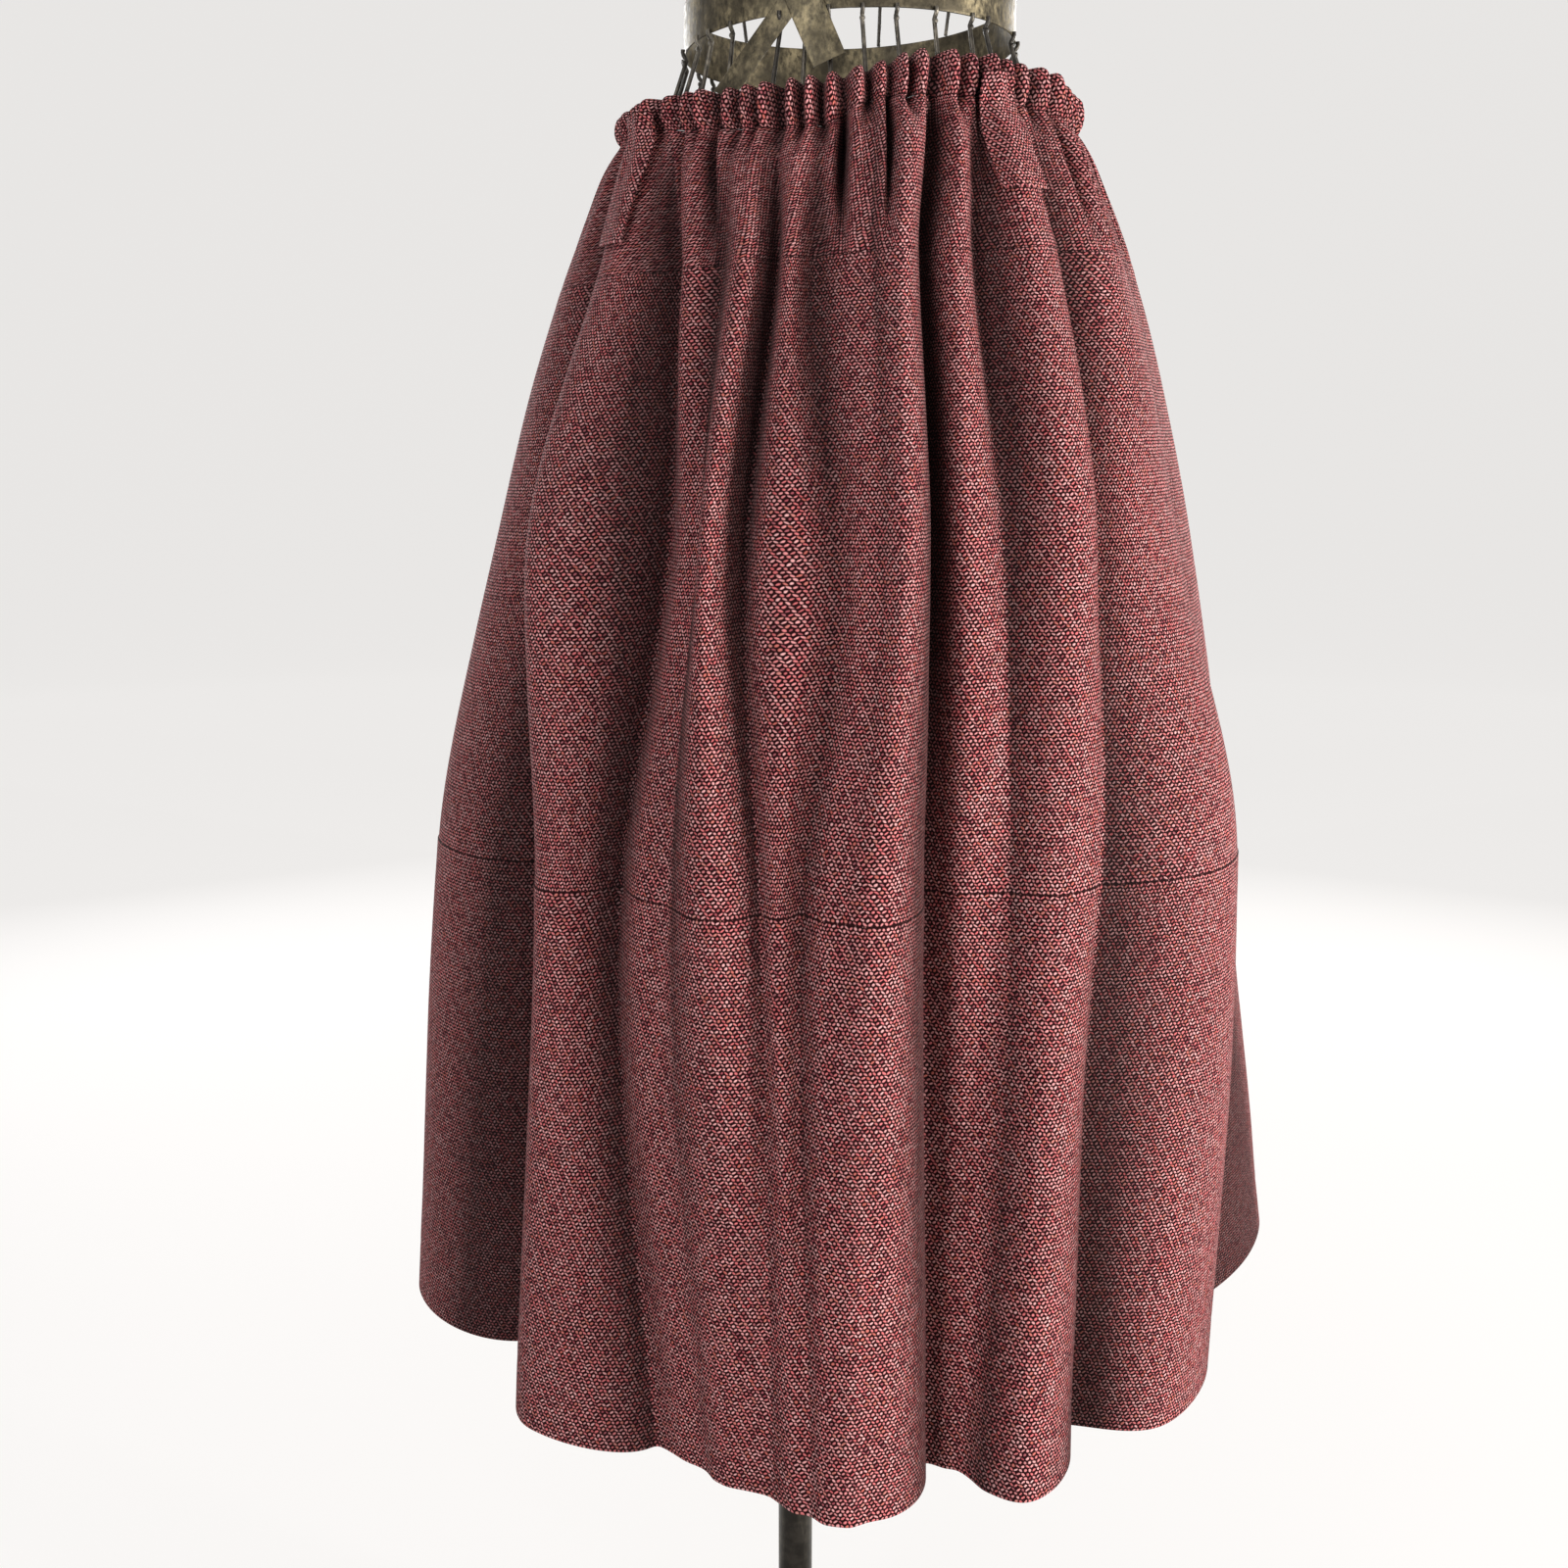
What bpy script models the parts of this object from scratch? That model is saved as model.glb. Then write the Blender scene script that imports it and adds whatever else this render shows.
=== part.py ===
"""Gathered skirt in three tiers under an elastic casing, standing on a wire-cage dress form.

Metres, +Z up. The front of the skirt looks towards -Y, and the pole of the form stands on
the origin. Every cloth wall is drawn round the skirt's own upright axis, by angle and reach:
the angle is 0 at the front and grows towards +X, the reach is the distance from the axis.
"""

import math

import bpy
import numpy as np

# ------------------------------------------------------------------ driving sizes, in metres
AXIS_X = 0.031  # the skirt hangs a little to the right of the pole
SEAM_GAP = 0.0003  # clear space between two sewn pieces
CLOTH = 0.0018  # thickness of the cloth, across the wall
HEM_CLOTH = 0.0030  # the hem is turned up, so it is two layers
MOST_WALL = 0.0045  # the wall measured along the reach, on the steepest flanks

CASING_TOP = 1.1225
CASING_FOOT = 1.0953
WAIST = 1.095  # stitching line under the casing
UPPER_YOKE = 1.076  # the folds are nearly full from here down
YOKE_SEAM = 1.02
HIP = 0.855
TIER_SEAM = 0.689
HEM_LINE = 0.413
HEM = 0.385

WAIST_SIDE = 0.1312  # half width of the stitching line, halfway up the gathers
WAIST_DEPTH = 0.1045  # half depth of the same line
CASING_WALL = 0.0040  # two layers of cloth with the elastic between them
PINCH = 0.0012  # how far the stitching draws the cloth in
YOKE_STEP = 0.0013  # the turned edge of the middle tier stands proud
TIER_STEP = 0.0008
STEP_REACH = 0.018  # height over which that edge settles on the cloth below
CASING_BULGE = 0.0016
CASING_GATHER = 1.05  # share of a gather's height that stands on the casing
PINCH_REACH = 0.004

# ------------------------------------------------------------------ gathers
FRONT_GATHERS = 30
BACK_GATHERS = 26
GATHER = 0.0054  # height of a gather to each side of the wall's middle
QUARTERS = (1.0, 0.30, -1.0, 0.30)  # a gather's ridge, flank, valley and flank
GATHER_FADE = ((WAIST, 1.0), (1.080, 0.90), (1.057, 0.50), (1.037, 0.20), (YOKE_SEAM, 0.05))

# ------------------------------------------------------------------ folds of the front
# Angles in degrees, reaches in millimetres. Ridges and valleys follow each other from the
# left side round the front to the right side, and each runs from the waist to the hem.
RIDGE = 1
VALLEY = -1
FOLDS = (
    # name, kind, waist angle, then angle and reach at: yoke seam, hip, tier seam, hem
    ("left_side", RIDGE, -88.0, -84.0, 174, -76.0, 222, -77.0, 258, -80.0, 282),
    ("left_tuck_in", VALLEY, -76.0, -69.0, 157, -58.0, 201, -55.0, 214, -57.0, 219),
    ("left_front", RIDGE, -66.0, -57.0, 168, -46.0, 242, -41.5, 256, -40.0, 283),
    ("left_hollow", VALLEY, -56.5, -45.7, 130, -31.0, 196, -34.6, 222, -25.0, 257),
    ("left_crimp", RIDGE, -47.0, -37.5, 153, -25.4, 214, -27.0, 245, -19.2, 267),
    ("left_nick", VALLEY, -39.0, -32.0, 131, -22.6, 214, -22.4, 252, -16.4, 276),
    ("left_crown", RIDGE, -30.0, -23.0, 162, -19.8, 240, -17.5, 270, -13.5, 281),
    ("centre_nick", VALLEY, -22.0, -19.0, 125, -16.8, 204, -12.0, 250, -9.0, 286),
    ("centre_pale", RIDGE, -16.5, -14.2, 154, -11.3, 230, -9.6, 261, -6.4, 297),
    ("centre_hollow", VALLEY, -10.5, -10.0, 125, -3.3, 213, -7.2, 246, -4.8, 299),
    ("loop_left", RIDGE, -0.7, -1.2, 152, 0.2, 228, -3.6, 266, -3.2, 306),
    ("loop", VALLEY, 4.2, 2.2, 148, 2.4, 235, -1.3, 271, -1.0, 308),
    ("prow", RIDGE, 12.0, 6.6, 167, 4.8, 243, 1.8, 275, 1.6, 301),
    ("deep", VALLEY, 21.0, 14.2, 123, 11.0, 176, 9.2, 204, 8.2, 252),
    ("deep_right", RIDGE, 27.0, 19.2, 156, 15.0, 210, 15.0, 222, 11.0, 261),
    ("tuck_slit", VALLEY, 34.0, 27.0, 132, 22.0, 198, 20.2, 227, 13.0, 280),
    ("right_lobe", RIDGE, 41.0, 35.6, 167, 30.4, 224, 26.4, 244, 17.2, 299),
    ("right_hollow", VALLEY, 52.0, 47.0, 145, 38.4, 204, 33.0, 236, 28.0, 240),
    ("right_front", RIDGE, 62.0, 58.0, 168, 47.0, 219, 49.5, 262, 39.5, 276),
    ("right_tuck_in", VALLEY, 76.0, 74.0, 161, 65.0, 206, 71.0, 227, 67.0, 221),
    ("right_side", RIDGE, 90.0, 90.0, 172, 88.0, 214, 96.0, 247, 105.0, 311),
)
ANGLE_COLUMNS = (2, 3, 5, 7, 9)
REACH_COLUMNS = (4, 6, 8, 10)
LEVELS = (WAIST, UPPER_YOKE, YOKE_SEAM, HIP, TIER_SEAM, HEM)
WAIST_FOLD = 0.0016  # height of the folds on the stitching line
UPPER_FOLD = 0.50  # share of their height on the yoke's seam that they have on the upper yoke
LOBE = 0.7  # 0 gives even waves, 1 gives round lobes with slits between them
LOBE_WIDE = 2.2
LOBE_STEEP = 0.625
UPPER_SHARE = 0.25  # the upper yoke's share of the way from the waist to the yoke's seam

# ------------------------------------------------------------------ folds of the back
BACK_RIDGES = 6
BACK_UNEVEN = 0.32  # share of a fold's width that its place may shift by
# Half ellipse of the back at each level, and how far its folds rise and fall.
BACK_RINGS = (
    # level, half width, depth, fold height
    (YOKE_SEAM, 0.170, 0.158, 0.008),
    (HIP, 0.214, 0.200, 0.015),
    (TIER_SEAM, 0.244, 0.224, 0.020),
    (HEM, 0.285, 0.248, 0.027),
)

# How far a level line climbs towards +X, per metre.
CLIMB = ((CASING_TOP, 0.052), (WAIST, 0.050), (YOKE_SEAM, 0.050), (TIER_SEAM, 0.016), (HEM, 0.0))

# The casing isn't level: it rises and falls round the waist, in degrees and millimetres.
ARCH = (
    # angle, rise of the casing's top edge, rise of the waist line
    (-180, 0.0, 4.0),
    (-112, 0.0, 5.0),
    (-86, -2.0, 9.0),
    (-74, -3.5, 8.5),
    (-62, -3.8, 7.0),
    (-52, -4.8, 3.6),
    (-36, -6.5, 0.0),
    (-21, -6.5, -2.4),
    (-8, -5.0, -1.8),
    (0, -3.0, 5.5),
    (9, 0.8, 10.5),
    (20, 5.2, 10.4),
    (38, 3.7, 10.0),
    (55, 0.6, 6.0),
    (72, -5.0, 1.8),
    (90, -7.0, 0.5),
    (130, -2.0, 3.0),
    (180, 0.0, 4.0),
)

# ------------------------------------------------------------------ stitched tucks
# Angles of the free edge and of the far edge, at the top and at the foot, in degrees.
TUCKS = (
    # name, top free, top far, foot free, foot far, top height, foot height
    ("tuck_right", 35.6, 45.5, 32.2, 42.6, 1.1100, 1.0492),
    ("tuck_left", -60.0, -70.5, -53.0, -63.0, 1.1105, 1.0381),
)
TUCK_WALL = 0.0014
TUCK_MIDDLES = (39.0, -60.0)  # the gathers are flatter round these angles
CALM_DEPTH = 0.8
CALM_WIDTH = 11.0
CALM_START = 0.012  # below the stitching line
TUCK_LIFT = 0.0008
TUCK_SPAN = 0.006  # the strip bridges the cloth this far above and below each of its rows

# ------------------------------------------------------------------ dress form
WIRE = 0.0024
WAIST_BAND_SIDE = 0.0986
WAIST_BAND_DEPTH = 0.0830
WAIST_BAND_HEIGHT = 0.0270
WAIST_BAND_WALL = 0.0012
WAIST_BAND_FOOT = 1.15
BAND_CLIMB_X = 0.030
BAND_CLIMB_Y = -0.075
BAND_STEPS = 48
HIP_WIRES = 28
TORSO_WIRES = 12
CAGE_FOOT = 0.895
# Outside of the hip cage: height, half width, half depth.
CAGE = (
    (1.155, 0.0986, 0.0830),
    (1.125, 0.1090, 0.0868),
    (1.095, 0.1214, 0.0905),
    (1.050, 0.1285, 0.0940),
    (0.980, 0.1460, 0.1150),
    (0.895, 0.1590, 0.1370),
)
# Outside of the torso cage: height above the waist band's top edge, half width, half depth.
TORSO = (
    (0.000, 0.0986, 0.0830),
    (0.060, 0.1120, 0.0930),
    (0.120, 0.1300, 0.1080),
    (0.180, 0.1440, 0.1160),
    (0.240, 0.1500, 0.1080),
    (0.290, 0.1420, 0.0920),
    (0.325, 0.1060, 0.0760),
    (0.350, 0.0600, 0.0560),
    (0.400, 0.0480, 0.0480),
)
NECK_RING = 0.006
NECK_CAP_HEIGHT = 0.012
FLOOR_PLATE = 0.008
POLE_RADIUS = 0.0118
BASE_RADIUS = 0.150
BASE_HEIGHT = 0.012
BASE_BEVEL = 0.004
COLLAR_RADIUS = 0.024
COLLAR_HEIGHT = 0.030

# Flat ends of the band, crossed at the front. Places are world X and height of the middle line.
STRAPS = (
    # name, top x, top height, foot x, foot height, width, layers of metal under it
    ("form_strap_left", 0.0020, 1.1690, -0.0425, 1.1130, 0.0125, 0),
    ("form_strap_right", -0.0010, 1.1690, 0.0168, 1.1280, 0.0190, 1),
)
STRAP_WALL = 0.0010


# ------------------------------------------------------------------ curves through tables
def slopes(x, y):
    """Slopes of a curve through the rows that never overshoots them."""
    step = np.diff(x)[:, None]
    rise = np.diff(y, axis=0) / step
    inner = np.zeros_like(y)
    same = rise[:-1] * rise[1:] > 0
    both = rise[:-1] + rise[1:]
    mean = 2 * rise[:-1] * rise[1:] / np.where(same, both, 1)
    inner[1:-1] = np.where(same, mean, 0)
    inner[0] = rise[0]
    inner[-1] = rise[-1]
    return inner


def through(x, y, at):
    """Value at each place of a smooth curve through the points. Columns of y are curves."""
    x = np.asarray(x, float)
    y = np.asarray(y, float)
    single = y.ndim == 1
    if single:
        y = y[:, None]
    if x[0] > x[-1]:
        x = x[::-1]
        y = y[::-1]
    at = np.clip(np.asarray(at, float), x[0], x[-1])
    slope = slopes(x, y)
    left = np.clip(np.searchsorted(x, at, side="right") - 1, 0, len(x) - 2)
    width = (x[left + 1] - x[left])[..., None]
    t = (at - x[left])[..., None] / width
    start = y[left] * (1 + 2 * t) * (1 - t) ** 2 + slope[left] * width * t * (1 - t) ** 2
    end = y[left + 1] * t * t * (3 - 2 * t) - slope[left + 1] * width * t * t * (1 - t)
    return (start + end)[..., 0] if single else start + end


def oval(angle, side, depth):
    """Reach of an ellipse at an angle from the front."""
    return 1 / np.sqrt((np.sin(angle) / side) ** 2 + (np.cos(angle) / depth) ** 2)


def uneven(index, seed):
    """A fixed number from -1 to 1 that looks irregular along the index."""
    value = np.sin(np.asarray(index, float) * 12.9898 + seed * 78.233) * 43758.5453
    return 2 * (value - np.floor(value)) - 1


# ------------------------------------------------------------------ the skirt's surface
def fold_rows():
    """Angle and reach of each ridge and valley, all round, at each level."""
    angles = [[math.radians(row[column]) for column in ANGLE_COLUMNS] for row in FOLDS]
    kinds = [row[1] for row in FOLDS]
    reaches = [[row[column] / 1000 for column in REACH_COLUMNS] for row in FOLDS]
    spaces = 2 * BACK_RIDGES + 2
    first = np.array(angles[0]) + 2 * math.pi
    last = np.array(angles[-1])
    for index in range(1, spaces):
        kind = VALLEY if index % 2 else RIDGE
        share = (index + BACK_UNEVEN * uneven(index, 3.0)) / spaces
        place = last + (first - last) * share
        angles.append(list(place))
        kinds.append(kind)
        height = kind * (1 + 0.35 * uneven(index, 7.0))
        reach = []
        for ring, angle in zip(BACK_RINGS, place[1:]):
            reach.append(oval(angle, ring[1], ring[2]) + height * ring[3])
        reaches.append(reach)
    angles = np.array(angles)
    reaches = np.array(reaches)
    waist = oval(angles[:, 0], WAIST_SIDE, WAIST_DEPTH)
    beside = (np.roll(reaches[:, 0], 1) + np.roll(reaches[:, 0], -1)) / 2
    middle = (reaches[:, 0] + beside) / 2
    upper = waist + UPPER_SHARE * (middle - waist) + UPPER_FOLD * (reaches[:, 0] - middle)
    upper_angle = angles[:, 0] + UPPER_SHARE * (angles[:, 1] - angles[:, 0])
    angles = np.column_stack([angles[:, 0], upper_angle, angles[:, 1:]])
    waist = waist + WAIST_FOLD * np.array(kinds)
    return angles, np.column_stack([waist, upper, reaches]), np.array(kinds)


ANGLES, REACHES, KINDS = fold_rows()
ROWS = len(ANGLES)


def round_rows(values, turn):
    """Rows repeated past both ends, so that a curve closes smoothly."""
    return np.concatenate([values[-3:] - turn, values, values[:3] + turn])


def lobe(t):
    """Share of the way down from a ridge to a valley. Ridges are broad and valleys narrow."""
    even = t * t * (3 - 2 * t)
    return even + LOBE * (1 - (1 - t**LOBE_WIDE) ** LOBE_STEEP - even)


def skirt_line(place, height):
    """Angle and reach at places counted in fold rows, on one level line."""
    angle = through(LEVELS, ANGLES.T, height)
    reach = through(LEVELS, REACHES.T, height)
    count = np.arange(-3, ROWS + 3)
    angle = through(count, round_rows(angle, 2 * math.pi), place)
    row = np.floor(place).astype(int)
    start = reach[row % ROWS]
    end = reach[(row + 1) % ROWS]
    t = place - row
    return angle, start + (end - start) * np.where(KINDS[row % ROWS] == RIDGE, lobe(t), 1 - lobe(1 - t))


def waist_share(angle):
    """Share of the way round the waist, by length along it, counted from the angle 0."""
    fine = np.linspace(-math.pi, 3 * math.pi, 1441)
    reach = oval(fine, WAIST_SIDE, WAIST_DEPTH)
    x = reach * np.sin(fine)
    y = reach * np.cos(fine)
    length = np.concatenate([[0], np.cumsum(np.hypot(np.diff(x), np.diff(y)))])
    length = (length - np.interp(0, fine, length)) / (length[-1] / 2)
    return np.interp(angle, fine, length)


def climb(height):
    """Slope of a level line towards +X."""
    table = np.array(CLIMB)
    return through(table[:, 0], table[:, 1], height)


def arch(angle, height):
    """Rise of the waist's edges, which aren't level. It fades out down to the yoke's seam."""
    table = np.array(ARCH)
    turn = (np.degrees(angle) + 180) % 360 - 180
    rises = through(table[:, 0], table[:, 1:] / 1000, turn)
    up = np.clip((height - CASING_FOOT) / (CASING_TOP - CASING_FOOT), 0, 1.2)
    down = np.clip((height - YOKE_SEAM) / (WAIST - YOKE_SEAM), 0, 1)
    return rises[..., 0] * up + rises[..., 1] * (1 - up) * down * down * (3 - 2 * down)


def world(angle, reach, height):
    """Points in space from angles, reaches and level heights."""
    x = reach * np.sin(angle)
    y = -reach * np.cos(angle)
    z = height + climb(height) * x + arch(angle, height)
    return np.stack([AXIS_X + x, y, z], -1)


def wall_reach(angle, reach, height, cloth):
    """Reach of the inner face. The angle and reach arrays run height first, then round."""
    round_slope = np.gradient(reach, axis=1) / np.gradient(angle, axis=1) / reach
    down_slope = np.gradient(reach, axis=0) / np.gradient(height)[:, None]
    return reach - np.minimum(cloth * np.sqrt(1 + round_slope**2 + down_slope**2), MOST_WALL)


# ------------------------------------------------------------------ meshes
def material(name, colour, metallic, roughness):
    made = bpy.data.materials.new(name)
    made.use_nodes = True
    shader = made.node_tree.nodes["Principled BSDF"]
    shader.inputs["Base Color"].default_value = (*colour, 1.0)
    shader.inputs["Metallic"].default_value = metallic
    shader.inputs["Roughness"].default_value = roughness
    return made


def add_object(name, points, faces, look):
    mesh = bpy.data.meshes.new(name)
    mesh.from_pydata([tuple(point) for point in points], [], faces)
    mesh.update()
    mesh.materials.append(look)
    made = bpy.data.objects.new(name, mesh)
    bpy.context.scene.collection.objects.link(made)
    return made


def wall(name, outer, inner, look, closed=False, keep=None, crease=50.0):
    """One closed body between two grids of points, height first. Cells not kept are open."""
    rows, columns = outer.shape[:2]
    cells_round = columns if closed else columns - 1
    if keep is None:
        keep = np.ones((rows - 1, cells_round), bool)
    points = np.concatenate([outer.reshape(-1, 3), inner.reshape(-1, 3)])
    inside = rows * columns

    def at(row, column, layer):
        return layer * inside + row * columns + column % columns

    def kept(row, column):
        if closed:
            column %= cells_round
        in_grid = 0 <= row < rows - 1 and 0 <= column < cells_round
        return in_grid and keep[row, column]

    faces = []
    for row in range(rows - 1):
        for column in range(cells_round):
            if not keep[row, column]:
                continue
            a = (row, column)
            b = (row, column + 1)
            c = (row + 1, column + 1)
            d = (row + 1, column)
            faces.append([at(*a, 0), at(*d, 0), at(*c, 0), at(*b, 0)])
            faces.append([at(*a, 1), at(*b, 1), at(*c, 1), at(*d, 1)])
            borders = ((row - 1, column, a, b), (row, column + 1, b, c))
            borders += ((row + 1, column, c, d), (row, column - 1, d, a))
            for side_row, side_column, p, q in borders:
                if not kept(side_row, side_column):
                    faces.append([at(*p, 0), at(*q, 0), at(*q, 1), at(*p, 1)])
    used = sorted({corner for face in faces for corner in face})
    place = {corner: index for index, corner in enumerate(used)}
    faces = [[place[corner] for corner in face] for face in faces]
    made = add_object(name, points[used], faces, look)
    made.data.shade_smooth()
    made.data.set_sharp_from_angle(angle=math.radians(crease))
    return made


def turned(name, profile, look, steps, middle=(0.0, 0.0)):
    """A solid of revolution from (radius, height) rows, listed upwards, with flat ends."""
    points = []
    for radius, height in profile:
        for step in range(steps):
            angle = 2 * math.pi * step / steps
            x = middle[0] + radius * math.cos(angle)
            points.append((x, middle[1] + radius * math.sin(angle), height))
    faces = [list(range(steps))[::-1]]
    for row in range(len(profile) - 1):
        for step in range(steps):
            after = (step + 1) % steps
            low = row * steps
            high = low + steps
            faces.append([low + step, low + after, high + after, high + step])
    faces.append([(len(profile) - 1) * steps + step for step in range(steps)])
    made = add_object(name, points, faces, look)
    made.data.shade_smooth()
    made.data.set_sharp_from_angle(angle=math.radians(40))
    return made


# ------------------------------------------------------------------ cloth pieces
def gather_places():
    """Places of the four samples of every gather, and the number of the gather."""
    low = waist_share(math.radians(-90.0))
    high = waist_share(math.radians(90.0))
    shares = []
    numbers = []
    runs = ((FRONT_GATHERS, low, high), (BACK_GATHERS, high, low + 1))
    for count, start, end in runs:
        edges = np.arange(count + 1) + 0.26 * uneven(np.arange(count + 1), 5.0)
        edges[0] = 0
        edges[-1] = count
        for index in range(count):
            for quarter in range(4):
                within = edges[index] + (edges[index + 1] - edges[index]) * quarter / 4
                shares.append(start + (end - start) * within / count)
                numbers.append(len(numbers) // 4)
    fine = np.linspace(-1, ROWS + 1, 4001)
    fine_share = waist_share(skirt_line(fine, WAIST)[0])
    return np.interp(shares, fine_share, fine), np.array(numbers)


def gather_height(places, numbers):
    """Signed height of the gathered edge at each sample, before it fades out below."""
    quarter = np.arange(len(places)) % 4
    wave = np.array(QUARTERS)[quarter]
    return GATHER * wave * (1 + 0.28 * uneven(numbers + 0.5 * (quarter > 1), 11.0))


def side_calm(angle):
    """Share of the gathers that is left under each stitched tuck."""
    turn = np.degrees((angle + math.pi) % (2 * math.pi) - math.pi)
    calm = np.ones_like(turn)
    for middle in TUCK_MIDDLES:
        calm = calm - CALM_DEPTH * np.exp(-(((turn - middle) / CALM_WIDTH) ** 2))
    return calm


def gathered_line(places, gathers, height):
    """Angle and reach of the cloth with its gathers on it, on the yoke and on the casing."""
    angle, reach = skirt_line(places, min(height, WAIST))
    if height > WAIST:
        return angle, reach + CASING_BULGE + CASING_GATHER * gathers
    fade = np.array(GATHER_FADE)
    share = through(fade[:, 0], fade[:, 1], height)
    calm = side_calm(angle) ** min(1.0, (WAIST - height) / CALM_START)
    return angle, reach + gathers * share * calm - PINCH * math.exp((height - WAIST) / PINCH_REACH)


def tier(name, places, heights, look, step, gathers=None, hem=False):
    """A tier of cloth between two places and the first and last height."""
    heights = np.array(heights)
    angle = []
    reach = []
    for height in heights:
        if gathers is None:
            row_angle, row_reach = skirt_line(places, height)
        else:
            row_angle, row_reach = gathered_line(places, gathers, height)
        row_reach = row_reach + step * math.exp((height - heights[0]) / STEP_REACH)
        angle.append(row_angle)
        reach.append(row_reach)
    angle = np.array(angle)
    reach = np.array(reach)
    cloth = np.full((len(heights), 1), CLOTH)
    if hem:
        cloth[heights < HEM_LINE + 0.0005] = HEM_CLOTH
    inner = wall_reach(angle, reach, heights, cloth)
    angle[:, 0] += SEAM_GAP / 2 / reach[:, 0]
    angle[:, -1] -= SEAM_GAP / 2 / reach[:, -1]
    level = np.broadcast_to(heights[:, None], reach.shape)
    return wall(name, world(angle, reach, level), world(angle, inner, level), look)


def fold_places(start, end, degrees_each):
    """Places between two rows, closer where the folds at the hem are closer."""
    stops = [start] + list(range(math.ceil(start + 0.01), math.floor(end - 0.01) + 1)) + [end]
    angle = np.degrees(skirt_line(np.array(stops, float), HEM)[0])
    places = []
    for index in range(len(stops) - 1):
        count = int(np.clip(round((angle[index + 1] - angle[index]) / degrees_each), 3, 7))
        places += list(np.linspace(stops[index], stops[index + 1], count, endpoint=False))
    return np.array(places + [end])


def casing(places, gathers, look):
    """The gathered tube of cloth round the elastic: a closed ring."""
    # Share of the height, push outwards, share of the gathers.
    outside = ((0.0, -PINCH, 0.95), (0.42, CASING_BULGE, CASING_GATHER))
    outside += ((0.84, 0.0008, 1.0), (1.0, -0.0016, 0.8))
    inside = ((0.0, -PINCH, 0.95), (1.0, -0.0008, 0.9))
    angle, middle = skirt_line(places, WAIST)
    scallop = 0.0011 * gathers / GATHER
    grids = []
    for rows, wall_size in ((outside, 0.0), (inside, CASING_WALL)):
        grid = []
        for share, push, part in rows:
            height = CASING_FOOT + (CASING_TOP - CASING_FOOT) * share + scallop * share
            drop = 0.0022 if wall_size and share == 1.0 else 0.0
            grid.append(world(angle, middle + push + gathers * part - wall_size, height - drop))
        grids.append(grid)
    return ring_of_rows("waist_casing", grids[0][::-1] + grids[1], look)


def ring_of_rows(name, rows, look):
    """A closed ring whose section runs down the outside and then up the inside."""
    columns = len(rows[0])
    points = np.concatenate(rows)
    faces = []
    for row in range(len(rows)):
        low = row * columns
        high = ((row + 1) % len(rows)) * columns
        for column in range(columns):
            after = (column + 1) % columns
            faces.append([low + column, high + column, high + after, low + after])
    made = add_object(name, points, faces, look)
    made.data.shade_smooth()
    made.data.set_sharp_from_angle(angle=math.radians(55))
    return made


def tuck(row, places, gathers, look):
    """A flat stitched strip that lies over the casing and the top of the yoke."""
    name, top_free, top_far, foot_free, foot_far, top, foot = row
    heights = np.linspace(top, foot, 6)
    across = np.linspace(0, 1, 7)
    window = np.linspace(-0.85, 0.85, 15) / (len(across) - 1)
    angle = []
    reach = []
    for height in heights:
        down = (top - height) / (top - foot)
        free = top_free + (foot_free - top_free) * down
        far = top_far + (foot_far - top_far) * down
        row_angle = np.radians(free + (far - free) * across)
        near = np.radians(free + (far - free) * (across[:, None] + window))
        under = np.zeros(len(across))
        for level in height + TUCK_SPAN * np.linspace(-1, 1, 5):
            line_angle, line_reach = gathered_line(places, gathers, level)
            under = np.maximum(under, np.interp(near, line_angle, line_reach).max(axis=1))
        angle.append(row_angle)
        reach.append(under + TUCK_LIFT)
    angle = np.array(angle)
    reach = np.array(reach)
    level = np.broadcast_to(heights[:, None], reach.shape)
    outer = world(angle, reach + TUCK_WALL, level)
    inner = world(angle, reach, level)
    if top_free > top_far:
        outer = outer[:, ::-1]
        inner = inner[:, ::-1]
    return wall(name, outer, inner, look)


# ------------------------------------------------------------------ form pieces
def band_foot(x, y):
    return WAIST_BAND_FOOT + BAND_CLIMB_X * (x - AXIS_X) + BAND_CLIMB_Y * y


def waist_band(look):
    angle = np.linspace(0, 2 * math.pi, BAND_STEPS, endpoint=False)
    grids = []
    for inset in (0.0, WAIST_BAND_WALL):
        reach = oval(angle, WAIST_BAND_SIDE, WAIST_BAND_DEPTH) - inset
        x = AXIS_X + reach * np.sin(angle)
        y = -reach * np.cos(angle)
        foot = band_foot(x, y)
        grids.append(np.array([np.stack([x, y, foot + WAIST_BAND_HEIGHT], -1), np.stack([x, y, foot], -1)]))
    return wall("form_waist_band", grids[0], grids[1], look, closed=True)


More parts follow.
